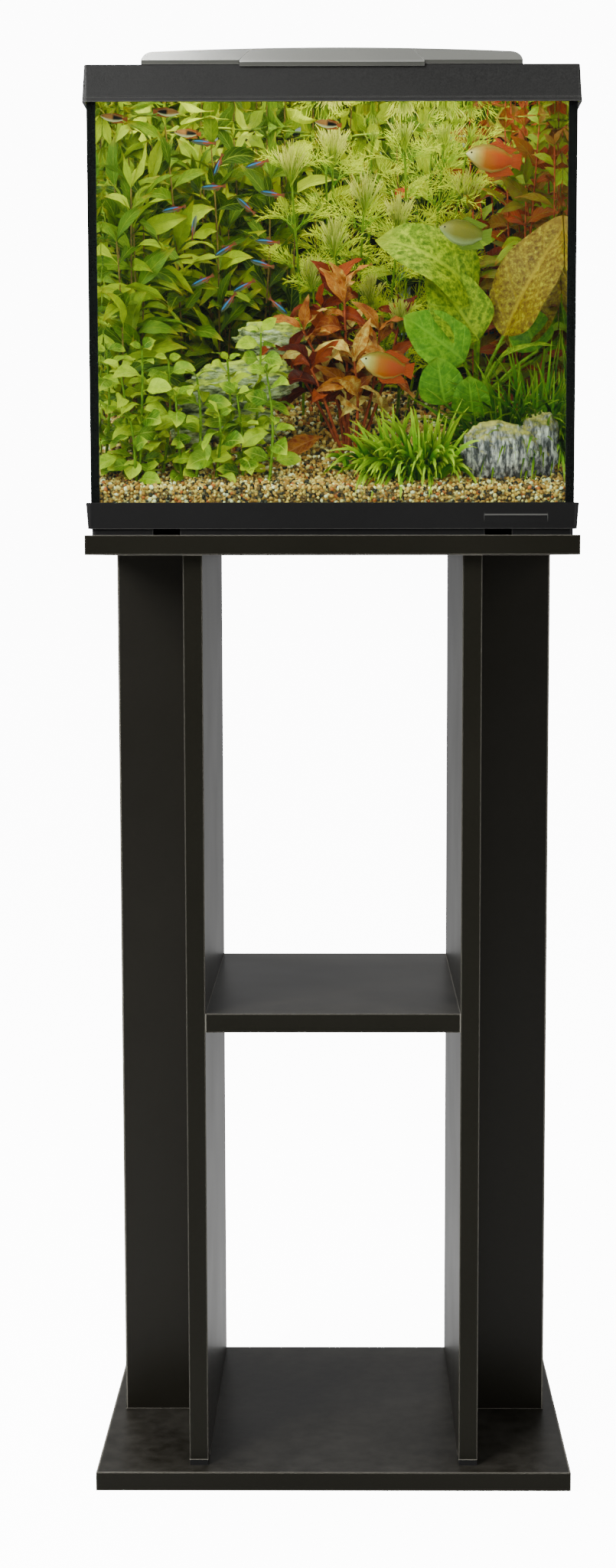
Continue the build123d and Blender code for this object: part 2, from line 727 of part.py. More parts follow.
with BuildPart() as bottom_trim:
    with BuildSketch(Plane.XY.offset(trim_bottom)):
        RectangleRounded(2 * trim_foot_x, 2 * trim_foot_y, TRIM_CORNER)
    extrude(amount=TRIM_FACE, taper=-trim_taper)
    fillet(bottom_trim.faces().sort_by(Axis.Z)[-1].edges(), TRIM_WALL / 4)
    with BuildSketch(Plane.XY.offset(glass_bottom)):
        Rectangle(2 * (glass_x + TRIM_CLEAR), 2 * (glass_y + TRIM_CLEAR))
    extrude(amount=TRIM_FACE, mode=Mode.SUBTRACT)
    with BuildSketch(Plane.XY.offset(trim_bottom)):
        Rectangle(2 * (glass_x - TRIM_LEDGE_REACH), 2 * (glass_y - TRIM_LEDGE_REACH))
    extrude(amount=TRIM_LEDGE, mode=Mode.SUBTRACT)
    # recessed plinth that the tank stands on
    with BuildSketch(Plane.XY.offset(STAND_HEIGHT)):
        RectangleRounded(2 * skirt_x, 2 * skirt_y, TRIM_CORNER)
        Rectangle(2 * (skirt_x - TRIM_WALL), 2 * (skirt_y - TRIM_WALL), mode=Mode.SUBTRACT)
    extrude(amount=SKIRT_HEIGHT)
    for side in (-1, 1):
        for front in (-1, 1):
            low_y, high_y = sorted((front * (skirt_y - 2 * TRIM_WALL), front * trim_half_y))
            block(
                (side * SKIRT_NOTCH_OFFSET - SKIRT_NOTCH / 2, low_y, STAND_HEIGHT),
                (side * SKIRT_NOTCH_OFFSET + SKIRT_NOTCH / 2, high_y, trim_bottom),
                Mode.SUBTRACT,
            )
    # shallow bare field for a badge
    badge_z = trim_bottom + TRIM_FACE / 2
    badge_y = -(trim_foot_y + TRIM_FLARE / 2)
    badge_plane = Plane(
        origin=(BADGE_OFFSET, badge_y, badge_z), x_dir=(1, 0, 0), z_dir=(0, -1, 0)
    ).rotated((-trim_taper, 0, 0))
    with BuildSketch(badge_plane):
        RectangleRounded(BADGE_WIDTH, BADGE_HEIGHT, TRIM_CORNER / 3)
    extrude(amount=-BADGE_DEPTH, mode=Mode.SUBTRACT)
save(bottom_trim, "bottom_trim")

# ---------------------------------------------------------------- hood shell
light_screw_x = light_x + LIGHT_TAB / 2
hatch_front = canopy_front + HATCH_MARGIN
hatch_back = hinge_y - HATCH_MARGIN
vent_y = (LIGHT_CENTRE_Y + LIGHT_WIDTH / 2 + hood_half_y) / 2
peg_places = [
    (side * (CANOPY_WIDTH / 2 - PEG_INSET), y)
    for side in (-1, 1)
    for y in (canopy_front + PEG_INSET * 2, canopy_back - PEG_INSET)
]

with BuildPart() as hood_shell:
    with BuildSketch(Plane.XY.offset(hood_bottom)):
        RectangleRounded(2 * hood_half_x, 2 * hood_half_y, HOOD_CORNER)
    extrude(amount=HOOD_HEIGHT, taper=hood_taper)
    fillet(hood_shell.faces().sort_by(Axis.Z)[-1].edges(), HOOD_TOP_ROUND)
    with BuildSketch(Plane.XY.offset(hood_bottom)):
        RectangleRounded(
            2 * (hood_half_x - HOOD_WALL), 2 * (hood_half_y - HOOD_WALL), HOOD_CORNER - HOOD_WALL
        )
    extrude(amount=HOOD_HEIGHT - HOOD_WALL, taper=hood_taper, mode=Mode.SUBTRACT)
    # groove that sets off the lower lip
    with BuildSketch(Plane.XY.offset(hood_bottom + LIP_HEIGHT)):
        RectangleRounded(2 * hood_half_x + HOOD_WALL, 2 * hood_half_y + HOOD_WALL, HOOD_CORNER)
        RectangleRounded(
            2 * (hood_half_x - SHADOW_LINE), 2 * (hood_half_y - SHADOW_LINE), HOOD_CORNER,
            mode=Mode.SUBTRACT,
        )
    extrude(amount=SHADOW_LINE, mode=Mode.SUBTRACT)
    # inner ledge that sits on the glass
    with BuildSketch(Plane.XY.offset(glass_top)):
        Rectangle(2 * hood_half_x - HOOD_WALL, 2 * hood_half_y - HOOD_WALL)
        Rectangle(2 * (inner_x - FLANGE_REACH), 2 * (inner_y - FLANGE_REACH), mode=Mode.SUBTRACT)
    extrude(amount=FLANGE)
    # feeding hatch, vents, canopy peg holes and screw holes through the roof
    with BuildSketch(Plane.XY.offset(hood_roof)):
        with Locations((0, (hatch_front + hatch_back) / 2)):
            RectangleRounded(HATCH_WIDTH, hatch_back - hatch_front, HOOD_CORNER)
        with Locations((0, vent_y)):
            with GridLocations(VENT_PITCH, 1, VENT_COUNT, 1):
                SlotOverall(VENT_LENGTH, VENT_WIDTH, rotation=90)
        with Locations(*peg_places):
            Circle(PEG_RADIUS + RUNNING_CLEAR)
        with Locations((-light_screw_x, LIGHT_CENTRE_Y), (light_screw_x, LIGHT_CENTRE_Y)):
            Circle(LIGHT_SCREW_RADIUS + SCREW_CLEAR)
    extrude(amount=HOOD_WALL, mode=Mode.SUBTRACT)
    # cable notches in the rear skirt
    for side in (-1, 1):
        block(
            (side * CABLE_NOTCH_OFFSET - CABLE_NOTCH_WIDTH / 2, inner_y - FLANGE_REACH, hood_bottom),
            (
                side * CABLE_NOTCH_OFFSET + CABLE_NOTCH_WIDTH / 2,
                hood_half_y,
                glass_top + CABLE_NOTCH_HEIGHT,
            ),
            Mode.SUBTRACT,
        )
save(hood_shell, "hood_shell")


# ---------------------------------------------------------------- canopy and feeding flap
def canopy_block(inset):
    """The low dome on the hood, or, with an inset, the hollow inside it, open below."""
    base = -2 * inset
    half = CANOPY_WIDTH / 2
    with BuildPart() as dome:
        with BuildSketch(
            Plane(origin=(0, canopy_back, hood_top), x_dir=(1, 0, 0), z_dir=(0, -1, 0))
        ):
            with BuildLine():
                crown = ThreePointArc(
                    (-half, CANOPY_END_RISE), (0, CANOPY_RISE), (half, CANOPY_END_RISE)
                )
                Polyline(crown @ 1, (half, base), (-half, base), crown @ 0)
            make_face()
            fillet(vertices().group_by(Axis.Y)[-1], CANOPY_ROUND)
            if inset:
                offset(amount=-inset)
        extrude(amount=CANOPY_DEPTH)
        with BuildSketch(
            Plane(origin=(-half, 0, hood_top), x_dir=(0, 1, 0), z_dir=(1, 0, 0))
        ):
            Polygon(
                (canopy_front, base),
                (canopy_front, CANOPY_NOSE),
                (canopy_front + CANOPY_SLOPE, CANOPY_RISE),
                (canopy_back - CANOPY_TAIL, CANOPY_RISE),
                (canopy_back, CANOPY_NOSE),
                (canopy_back, base),
                align=None,
            )
            if inset:
                offset(amount=-inset, kind=Kind.INTERSECTION)
        extrude(amount=CANOPY_WIDTH, mode=Mode.INTERSECT)
    return dome.part


def flap_outline(gap, back):
    """Prism that divides the flap from the canopy: splayed at the front slope, straight behind."""
    with BuildPart() as prism:
        with BuildSketch(Plane.XY.offset(hood_top - CANOPY_RISE)):
            Polygon(
                (-(FLAP_FRONT_HALF + gap), canopy_front - CANOPY_SLOPE),
                (FLAP_FRONT_HALF + gap, canopy_front - CANOPY_SLOPE),
                (FLAP_FRONT_HALF + gap, canopy_front),
                (FLAP_BACK_HALF + gap, canopy_front + CANOPY_SLOPE),
                (FLAP_BACK_HALF + gap, back),
                (-(FLAP_BACK_HALF + gap), back),
                (-(FLAP_BACK_HALF + gap), canopy_front + CANOPY_SLOPE),
                (-(FLAP_FRONT_HALF + gap), canopy_front),
                align=None,
            )
        extrude(amount=3 * CANOPY_RISE)
    return prism.part


canopy_outer = canopy_block(0.0)
canopy_hollow = canopy_block(CANOPY_WALL)
flap_slot_back = hinge_y + BARREL_DROP + 1.5 * FLAP_GAP
ear_inner = FLAP_BACK_HALF + FLAP_GAP

with BuildPart() as canopy:
    add(canopy_outer)
    add(canopy_hollow, mode=Mode.SUBTRACT)
    add(flap_outline(FLAP_GAP, flap_slot_back), mode=Mode.SUBTRACT)
    # ears for the hinge pin, kept under the dome's skin
    for side in (-1, 1):
        low_x, high_x = sorted((side * ear_inner, side * (ear_inner + EAR)))
        block(
            (low_x, hinge_y - EAR, hinge_z - EAR),
            (high_x, hinge_y + EAR, hood_top + CANOPY_RISE - CANOPY_WALL),
        )
        drill((side * ear_inner, hinge_y, hinge_z), (side, 0, 0), PIN_RADIUS + PIN_CLEAR, EAR)
    # pegs that hold the canopy down in the hood's roof
    for x, y in peg_places:
        rod((x, y, hood_roof), (0, 0, 1), PEG_RADIUS, HOOD_WALL + CANOPY_END_RISE - CANOPY_WALL / 2)
save(canopy, "canopy")

with BuildPart() as feeding_flap:
    add(canopy_outer)
    add(canopy_hollow, mode=Mode.SUBTRACT)
    block(
        (-CANOPY_WIDTH, -STAND_DEPTH, hood_top - CANOPY_RISE),
        (CANOPY_WIDTH, STAND_DEPTH, hood_top + FLAP_GAP / 2),
        Mode.SUBTRACT,
    )
    # finger lip along the front
    with BuildSketch(
        Plane(origin=(-FLAP_FRONT_HALF, 0, hood_top), x_dir=(0, 1, 0), z_dir=(1, 0, 0))
    ):
        Polygon(
            (canopy_front - LIP_OUT, -LIP_DROP),
            (canopy_front - FLAP_GAP, -LIP_DROP),
            (canopy_front - FLAP_GAP, FLAP_GAP / 2),
            (canopy_front + CANOPY_WALL / 2, FLAP_GAP / 2),
            (canopy_front + CANOPY_WALL / 2, CANOPY_NOSE),
            (canopy_front, CANOPY_NOSE),
            (canopy_front - LIP_OUT, CANOPY_NOSE / 3),
            align=None,
        )
    extrude(amount=2 * FLAP_FRONT_HALF)
    add(flap_outline(0.0, hinge_y), mode=Mode.INTERSECT)
    # hinge barrel under the rear edge
    rod((-FLAP_BACK_HALF, hinge_y, hinge_z), (1, 0, 0), BARREL_RADIUS, 2 * FLAP_BACK_HALF)
    drill(
        (-FLAP_BACK_HALF, hinge_y, hinge_z), (1, 0, 0), PIN_RADIUS + PIN_CLEAR, 2 * FLAP_BACK_HALF
    )
save(feeding_flap, "feeding_flap")

with BuildPart() as flap_pin:
    pin_half = ear_inner + EAR - FLAP_GAP
    rod((-pin_half, hinge_y, hinge_z), (1, 0, 0), PIN_RADIUS, 2 * pin_half)
save(flap_pin, "flap_pin")

# ---------------------------------------------------------------- light bar under the hood's roof
light_front = LIGHT_CENTRE_Y - LIGHT_WIDTH / 2
light_back = LIGHT_CENTRE_Y + LIGHT_WIDTH / 2
circuit_top = hood_roof - LIGHT_WALL

with BuildPart() as light_housing:
    block((-light_x, light_front, light_bottom), (light_x, light_back, hood_roof))
    block(
        (-light_x + LIGHT_WALL, light_front + LIGHT_WALL, light_bottom),
        (light_x - LIGHT_WALL, light_back - LIGHT_WALL, circuit_top),
        Mode.SUBTRACT,
    )
    for side in (-1, 1):
        low_x, high_x = sorted((side * light_x, side * (light_x + LIGHT_TAB)))
        block(
            (low_x, LIGHT_CENTRE_Y - LIGHT_TAB, hood_roof - LIGHT_HEIGHT / 2),
            (high_x, LIGHT_CENTRE_Y + LIGHT_TAB, hood_roof),
        )
        drill(
            (side * light_screw_x, LIGHT_CENTRE_Y, hood_roof),
            (0, 0, -1),
            LIGHT_SCREW_RADIUS + SCREW_CLEAR,
            LIGHT_HEIGHT / 2 - END_PLAY,
        )
save(light_housing, "light_housing")

with BuildPart() as light_circuit:
    block(
        (
            -light_x + LIGHT_WALL + RUNNING_CLEAR,
            light_front + LIGHT_WALL + RUNNING_CLEAR,
            circuit_top - CIRCUIT_BOARD,
        ),
        (
            light_x - LIGHT_WALL - RUNNING_CLEAR,
            light_back - LIGHT_WALL - RUNNING_CLEAR,
            circuit_top,
        ),
    )
save(light_circuit, "light_circuit")

with BuildPart() as light_leds:
    with Locations((0, LIGHT_CENTRE_Y, circuit_top - CIRCUIT_BOARD - LED_HEIGHT / 2)):
        with GridLocations(
            2 * light_x / (LED_COUNT + 1), LIGHT_WIDTH / (LED_ROWS + 1), LED_COUNT, LED_ROWS
        ):
            Box(LED_SIZE, LED_SIZE, LED_HEIGHT)
save(light_leds, "light_leds")

with BuildPart() as light_lens:
    block(
        (
            -light_x + LIGHT_WALL + RUNNING_CLEAR,
            light_front + LIGHT_WALL + RUNNING_CLEAR,
            light_bottom,
        ),
        (
            light_x - LIGHT_WALL - RUNNING_CLEAR,
            light_back - LIGHT_WALL - RUNNING_CLEAR,
            light_bottom + LENS,
        ),
    )
save(light_lens, "light_lens")

with BuildPart() as light_screws:
    for side in (-1, 1):
        rod(
            (side * light_screw_x, LIGHT_CENTRE_Y, hood_top),
            (0, 0, -1),
            LIGHT_SCREW_RADIUS,
            HOOD_WALL + LIGHT_HEIGHT / 2 - 2 * END_PLAY,
        )
        with Locations((side * light_screw_x, LIGHT_CENTRE_Y, hood_top)):
            Cylinder(LIGHT_SCREW_HEAD, LIGHT_SCREW_RADIUS, align=ON_END)
save(light_screws, "light_screws")

# ---------------------------------------------------------------- internal filter
filter_left = filter_x - FILTER_WIDTH / 2
filter_right = filter_x + FILTER_WIDTH / 2
filter_front = filter_back - FILTER_DEPTH
plate_z = filter_head_z
head_z = plate_z + PLATE
head_top = head_z + FILTER_HEAD_HEIGHT
chamber_radius = BLADE_RADIUS + ROTOR_CLEAR
chamber_height = BLADE_HEIGHT + 2 * ROTOR_CLEAR
well_radius = ROTOR_RADIUS + ROTOR_CLEAR
well_top = head_z + chamber_height + ROTOR_HEIGHT + ROTOR_CLEAR
duct_y = filter_front + TURRET_RADIUS + TURRET_MARGIN
dial_y = filter_back - DIAL_RADIUS - DIAL_MARGIN

with BuildPart() as filter_body:
    block((filter_left, filter_front, filter_bottom), (filter_right, filter_back, plate_z))
    fillet(filter_body.edges().filter_by(Axis.Z), FILTER_CORNER)
    fillet(filter_body.faces().sort_by(Axis.Z)[0].edges(), FILTER_CORNER / 2)
    with BuildSketch(Plane.XY.offset(filter_bottom + FILTER_WALL)):
        with Locations((filter_x, filter_y)):
            RectangleRounded(
                FILTER_WIDTH - 2 * FILTER_WALL,
                FILTER_DEPTH - 2 * FILTER_WALL,
                FILTER_CORNER - FILTER_WALL,
            )
    extrude(amount=FILTER_BODY_HEIGHT, mode=Mode.SUBTRACT)
    # intake slots in the front
    with BuildSketch(
        Plane(
            origin=(filter_x, filter_front, filter_bottom + FILTER_BODY_HEIGHT / 2),
            x_dir=(1, 0, 0),
            z_dir=(0, -1, 0),
        )
    ):
        with GridLocations(1, SLOT_PITCH, 1, SLOT_COUNT):
            SlotOverall(FILTER_WIDTH - 2 * FILTER_CORNER, SLOT_WIDTH)
    extrude(amount=-FILTER_WALL, mode=Mode.SUBTRACT)
save(filter_body, "filter_body")

with BuildPart() as filter_sponge:
    inset = FILTER_WALL + SPONGE_CLEAR
    block(
        (filter_left + inset, filter_front + inset, filter_bottom + inset),
        (filter_right - inset, filter_back - inset, plate_z - SPONGE_CLEAR),
    )
    fillet(filter_sponge.edges().filter_by(Axis.Z), FILTER_CORNER - FILTER_WALL)
save(filter_sponge, "filter_sponge")

with BuildPart() as filter_plate:
    with BuildSketch(Plane.XY.offset(plate_z)):
        with Locations((filter_x, filter_y)):
            RectangleRounded(FILTER_WIDTH, FILTER_DEPTH, FILTER_CORNER)
            # intake round the shaft's seat
            with PolarLocations(INTAKE_RING, INTAKE_COUNT):
                Circle(INTAKE_RADIUS, mode=Mode.SUBTRACT)
    extrude(amount=PLATE)
    drill((filter_x, filter_y, plate_z + PLATE), (0, 0, -1), SHAFT_RADIUS + SHAFT_CLEAR, PLATE / 2)
save(filter_plate, "filter_plate")

with BuildPart() as filter_head:
    block((filter_left, filter_front, head_z), (filter_right, filter_back, head_top))
    fillet(filter_head.edges().filter_by(Axis.Z), FILTER_CORNER)
    fillet(filter_head.faces().sort_by(Axis.Z)[-1].edges(), FILTER_CORNER / 2)
    # pump chamber, rotor well and the shaft's upper seat
    drill((filter_x, filter_y, head_z), (0, 0, 1), chamber_radius, chamber_height)
    drill((filter_x, filter_y, head_z), (0, 0, 1), well_radius, well_top - head_z)
    drill((filter_x, filter_y, well_top), (0, 0, 1), SHAFT_RADIUS + SHAFT_CLEAR, SHAFT_SEAT)
    # outlet duct from the chamber up to the spout's socket
    duct_z = head_z + chamber_height / 2
    drill((filter_x, filter_y, duct_z), (0, -1, 0), DUCT_RADIUS, filter_y - duct_y)
    drill(
        (filter_x, duct_y, head_top),
        (0, 0, -1),
        SPOUT_BORE,
        head_top - duct_z,
    )
    drill((filter_x, duct_y, head_top), (0, 0, -1), NECK_RADIUS + SHAFT_CLEAR, NECK_DEPTH)
    drill((filter_x, dial_y, head_top), (0, 0, -1), DIAL_STEM + SHAFT_CLEAR, DIAL_STEM_DEPTH)
    # cable gland boss
    rod((filter_right - GLAND_INSET, dial_y, head_top), (0, 0, 1), GLAND_RADIUS, GLAND_HEIGHT)
    drill(
        (filter_right - GLAND_INSET, dial_y, head_top + GLAND_HEIGHT),
        (0, 0, -1),
        GLAND_RADIUS / 2,
        GLAND_HEIGHT,
    )
save(filter_head, "filter_head")

with BuildPart() as filter_shaft:
    rod(
        (filter_x, filter_y, plate_z + PLATE / 2 + RUNNING_CLEAR / 2),
        (0, 0, 1),
        SHAFT_RADIUS,
        well_top + SHAFT_SEAT - plate_z - PLATE / 2 - RUNNING_CLEAR,
    )
save(filter_shaft, "filter_shaft")

with BuildPart() as filter_rotor:
    blade_z = head_z + ROTOR_CLEAR
    rod(
        (filter_x, filter_y, blade_z),
        (0, 0, 1),
        ROTOR_RADIUS,
        well_top - ROTOR_CLEAR / 2 - blade_z,
    )
    with Locations((filter_x, filter_y, blade_z + BLADE_HEIGHT / 2)):
        with PolarLocations(0, BLADE_COUNT):
            Box(
                BLADE_RADIUS,
                BLADE_THICKNESS,
                BLADE_HEIGHT,
                align=(Align.MIN, Align.CENTER, Align.CENTER),
            )
    drill((filter_x, filter_y, blade_z), (0, 0, 1), SHAFT_RADIUS + SHAFT_CLEAR, well_top - blade_z)
save(filter_rotor, "filter_rotor")

with BuildPart() as filter_spout:
    turret_z = head_top + RUNNING_CLEAR
    rod(
        (filter_x, duct_y, head_top - NECK_DEPTH + RUNNING_CLEAR),
        (0, 0, 1),
        NECK_RADIUS,
        NECK_DEPTH,
    )
    rod((filter_x, duct_y, turret_z), (0, 0, 1), TURRET_RADIUS, TURRET_HEIGHT)
    spout_z = turret_z + TURRET_HEIGHT / 2
    rod((filter_x, duct_y, spout_z), (0, -1, 0), SPOUT_RADIUS, SPOUT_LENGTH)
    drill((filter_x, duct_y - SPOUT_LENGTH, spout_z), (0, 1, 0), SPOUT_BORE, SPOUT_LENGTH)
    drill(
        (filter_x, duct_y, head_top - NECK_DEPTH + RUNNING_CLEAR),
        (0, 0, 1),
        SPOUT_BORE,
        NECK_DEPTH + TURRET_HEIGHT / 2,
    )
save(filter_spout, "filter_spout")

with BuildPart() as filter_dial:
    dial_z = head_top + RUNNING_CLEAR
    rod((filter_x, dial_y, dial_z), (0, 0, 1), DIAL_RADIUS, DIAL_HEIGHT)
    rod(
        (filter_x, dial_y, head_top - DIAL_STEM_DEPTH + END_PLAY),
        (0, 0, 1),
        DIAL_STEM,
        DIAL_STEM_DEPTH,
    )
    # pointer rib
    block(
        (filter_x - DIAL_RIB / 2, dial_y - DIAL_RADIUS, dial_z + DIAL_HEIGHT - DIAL_RIB),
        (filter_x + DIAL_RIB / 2, dial_y + DIAL_RADIUS, dial_z + DIAL_HEIGHT + DIAL_RIB),
    )
save(filter_dial, "filter_dial")


def suction_cup(start_y, reach):
    """Turned cup along +Y: a stalk against what it carries and a thin disc near the glass."""
    with BuildPart() as cup:
        with BuildSketch(Plane.XY):
            Polygon(
                (0, start_y),
                (CUP_STALK, start_y),
                (CUP_STALK, start_y + reach * CUP_STALK_SHARE),
                (CUP_RADIUS, start_y + reach - CUP_RIM),
                (CUP_RADIUS, start_y + reach),
                (0, start_y + reach),
                align=None,
            )
        revolve(axis=Axis.Y)
    return cup.part


with BuildPart() as filter_cups:
    for z in (filter_bottom + CUP_RADIUS + FILTER_CORNER, head_z + FILTER_HEAD_HEIGHT / 2):
        with Locations((filter_x, 0, z)):
            add(suction_cup(filter_back, FILTER_OFF_BACK - SOFT_GAP))
save(filter_cups, "filter_cups")

# ---------------------------------------------------------------- heater
tube_top = heater_bottom + HEATER_LENGTH
cap_top = tube_top - HEATER_SOCKET + HEATER_CAP_HEIGHT

with BuildPart() as heater_tube:
    with BuildSketch(Plane.XZ):
        with BuildLine():
            outer_side = Line((HEATER_RADIUS, HEATER_LENGTH), (HEATER_RADIUS, HEATER_RADIUS))
            outer_end = RadiusArc(outer_side @ 1, (0, 0), HEATER_RADIUS)
            inner_radius = HEATER_RADIUS - HEATER_WALL
            Line(outer_end @ 1, (0, HEATER_WALL))
            inner_end = RadiusArc((0, HEATER_WALL), (inner_radius, HEATER_RADIUS), -inner_radius)
            inner_side = Line(inner_end @ 1, (inner_radius, HEATER_LENGTH))
            Line(inner_side @ 1, outer_side @ 0)
        make_face()
    revolve(axis=Axis.Z)
heater_tube.part = heater_tube.part.moved(Location((heater_x, heater_y, heater_bottom)))
save(heater_tube, "heater_tube")

with BuildPart() as heater_element:
    rod(
        (heater_x, heater_y, heater_bottom + HEATER_RADIUS),
        (0, 0, 1),
        HEATER_ELEMENT_RADIUS,
        HEATER_LENGTH - HEATER_RADIUS - HEATER_SOCKET,
    )
    # collar that centres it in the tube
    rod(
        (heater_x, heater_y, tube_top - HEATER_SOCKET - HEATER_COLLAR),
        (0, 0, 1),
        inner_radius - RUNNING_CLEAR,
        HEATER_COLLAR,
    )
save(heater_element, "heater_element")

with BuildPart() as heater_cap:
    rod(
        (heater_x, heater_y, tube_top - HEATER_SOCKET),
        (0, 0, 1),
        HEATER_RADIUS + HEATER_CAP_WALL,
        HEATER_CAP_HEIGHT,
    )
    fillet(heater_cap.faces().sort_by(Axis.Z)[-1].edges(), HEATER_CAP_WALL)
    drill(
        (heater_x, heater_y, tube_top - HEATER_SOCKET),
        (0, 0, 1),
        HEATER_RADIUS + SCREW_CLEAR,
        HEATER_SOCKET + END_PLAY,
    )
    drill((heater_x, heater_y, cap_top), (0, 0, -1), DIAL_STEM + SHAFT_CLEAR, DIAL_STEM_DEPTH)
save(heater_cap, "heater_cap")

with BuildPart() as heater_dial:
    rod(
        (heater_x, heater_y, cap_top + RUNNING_CLEAR),
        (0, 0, 1),
        HEATER_DIAL_RADIUS,
        HEATER_DIAL_HEIGHT,
    )
    rod(
        (heater_x, heater_y, cap_top - DIAL_STEM_DEPTH + END_PLAY),
        (0, 0, 1),
        DIAL_STEM,
        DIAL_STEM_DEPTH,
    )
    block(
        (
            heater_x - DIAL_RIB / 2,
            heater_y - HEATER_DIAL_RADIUS,
            cap_top + HEATER_DIAL_HEIGHT - DIAL_RIB,
        ),
        (
            heater_x + DIAL_RIB / 2,
            heater_y + HEATER_DIAL_RADIUS,
            cap_top + HEATER_DIAL_HEIGHT + DIAL_RIB,
        ),
    )
save(heater_dial, "heater_dial")

with BuildPart() as heater_holder:
    for share in HOLDER_SHARES:
        z = heater_bottom + HEATER_LENGTH * share
        ring_outer = HEATER_RADIUS + HOLDER_WALL
        rod((heater_x, heater_y, z - HOLDER_HEIGHT / 2), (0, 0, 1), ring_outer, HOLDER_HEIGHT)
        with Locations((heater_x, 0, z)):
            add(
                suction_cup(
                    heater_y + HEATER_RADIUS + HOLDER_WALL / 2,
                    HEATER_OFF_BACK - HOLDER_WALL / 2 - SOFT_GAP,
                )
            )
        drill(
            (heater_x, heater_y, z - HOLDER_HEIGHT),
            (0, 0, 1),
            HEATER_RADIUS + SCREW_CLEAR,
            2 * HOLDER_HEIGHT,
        )
save(heater_holder, "heater_holder")

# ---------------------------------------------------------------- gravel
across_tank = Plane(origin=(0, 0, floor_z), x_dir=(0, 1, 0), z_dir=(1, 0, 0))


def bed_outline(lift):
    """Corners of the bed's section across the tank, or of the same raised by a small gap."""
    surface = [(y, height + lift) for y, height in bed_corners]
    return [(-bed_y, SOFT_GAP), *surface, (bed_y, SOFT_GAP)]


with BuildPart() as gravel_bed:
    with BuildSketch(across_tank):
        Polygon(*bed_outline(0.0), align=None)
    extrude(amount=bed_x, both=True)
    # cleared for the silicone in the upright corners and round the floor
    with BuildSketch(Plane.XY.offset(floor_z + SOFT_GAP)):
        Rectangle(2 * bed_x, 2 * bed_y)
        chamfer(vertices(), BEAD)
    extrude(amount=GRAVEL_BACK, mode=Mode.INTERSECT)
    chamfer(gravel_bed.faces().sort_by(Axis.Z)[0].edges(), BEAD)
save(gravel_bed, "gravel_bed")

with BuildPart() as gravel_mould:
    with BuildSketch(across_tank):
        Polygon(*bed_outline(SOFT_GAP), align=None)
    extrude(amount=bed_x, both=True)


# ---------------------------------------------------------------- stones and planting
def lump(plan, sections, roughness):
    """A stone or a bush: uneven outlines joined one above the other, standing on the gravel."""
    across, deep, half_width, half_depth, height, lean, phase = plan
    x = across * inner_x
    y = deep * inner_y
    surface = floor_z + gravel_height(y)
    foot = surface - half_depth * inner_y
    top = surface + height * (water_z - surface)
    with BuildPart() as solid:
        for level, swell in sections:
            with BuildSketch(Plane.XY.offset(foot + level * (top - foot))):
                with Locations((x + lean * inner_x * level, y)):
                    corners = []
                    for turn in range(LUMP_SIDES):
                        angle = 2 * math.pi * turn / LUMP_SIDES
                        wave = math.sin(2 * angle + phase) + math.sin(5 * angle + 2 * phase)
                        reach = swell * (1 + roughness * wave)
                        corner_x = half_width * inner_x * reach * math.cos(angle)
                        corner_y = half_depth * inner_y * reach * math.sin(angle)
                        corners.append((corner_x, corner_y))
                    Polygon(*corners, align=None)
        loft(ruled=True)
        add(gravel_mould.part, mode=Mode.SUBTRACT)
    return solid.part


for name, plans in STONES.items():
    with BuildPart() as stones:
        for plan in plans:
            add(lump(plan, STONE_SECTIONS, STONE_ROUGHNESS))
    save(stones, name)

for name, bushes in PLANTING.items():
    with BuildPart() as planting:
        for turn, (across, deep, half_width, height) in enumerate(bushes):
            half_depth = half_width * BUSH_DEPTH_SHARE
            plan = (across, deep, half_width, half_depth, height, 0.0, turn)
            add(lump(plan, BUSH_SECTIONS, BUSH_ROUGHNESS))
    save(planting, name)
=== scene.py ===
"""Aquarium on a black stand: finishes, planting, stones, gravel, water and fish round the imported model."""
import math
import random

import bmesh
import bpy
from mathutils import Euler, Matrix, Vector, noise


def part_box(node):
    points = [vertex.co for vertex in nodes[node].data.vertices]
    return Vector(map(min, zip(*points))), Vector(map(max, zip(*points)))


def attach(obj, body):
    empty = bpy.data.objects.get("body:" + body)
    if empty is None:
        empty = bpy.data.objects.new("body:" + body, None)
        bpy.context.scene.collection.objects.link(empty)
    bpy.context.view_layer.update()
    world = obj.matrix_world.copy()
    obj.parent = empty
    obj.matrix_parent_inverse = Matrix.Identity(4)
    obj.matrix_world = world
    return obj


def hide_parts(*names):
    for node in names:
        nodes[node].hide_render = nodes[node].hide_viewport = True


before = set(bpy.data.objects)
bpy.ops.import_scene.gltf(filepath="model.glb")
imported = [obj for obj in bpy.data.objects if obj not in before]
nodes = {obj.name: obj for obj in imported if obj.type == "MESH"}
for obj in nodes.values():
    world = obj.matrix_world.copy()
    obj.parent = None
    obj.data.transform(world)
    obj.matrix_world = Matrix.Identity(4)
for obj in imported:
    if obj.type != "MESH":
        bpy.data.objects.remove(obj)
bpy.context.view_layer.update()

MM = 0.001

# ---- places read from the frame
inner_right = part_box("right_pane")[0][0]
inner_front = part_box("front_pane")[1][1]
inner_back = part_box("back_pane")[0][1]
tank_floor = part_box("floor_pane")[1][2]
WATER_ABOVE_LIP = 8.5 * MM  # the surface lies hidden behind the hood's skirt, just under the rim of the glass
water_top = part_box("hood_shell")[0][2] + WATER_ABOVE_LIP


# ---- camera
def linked(name, data):
    """A new object in the scene."""
    piece = bpy.data.objects.new(name, data)
    bpy.context.scene.collection.objects.link(piece)
    return piece


FOCAL = 50.948
SENSOR = 36.0
CAMERA_PLACE = (0.012636, -1.948285, 0.78112)
CAMERA_DOWN = 0.10131
CAMERA_TURN = -0.00539
CAMERA_ROLL = 0.00091
CAMERA_SHIFT = -0.018

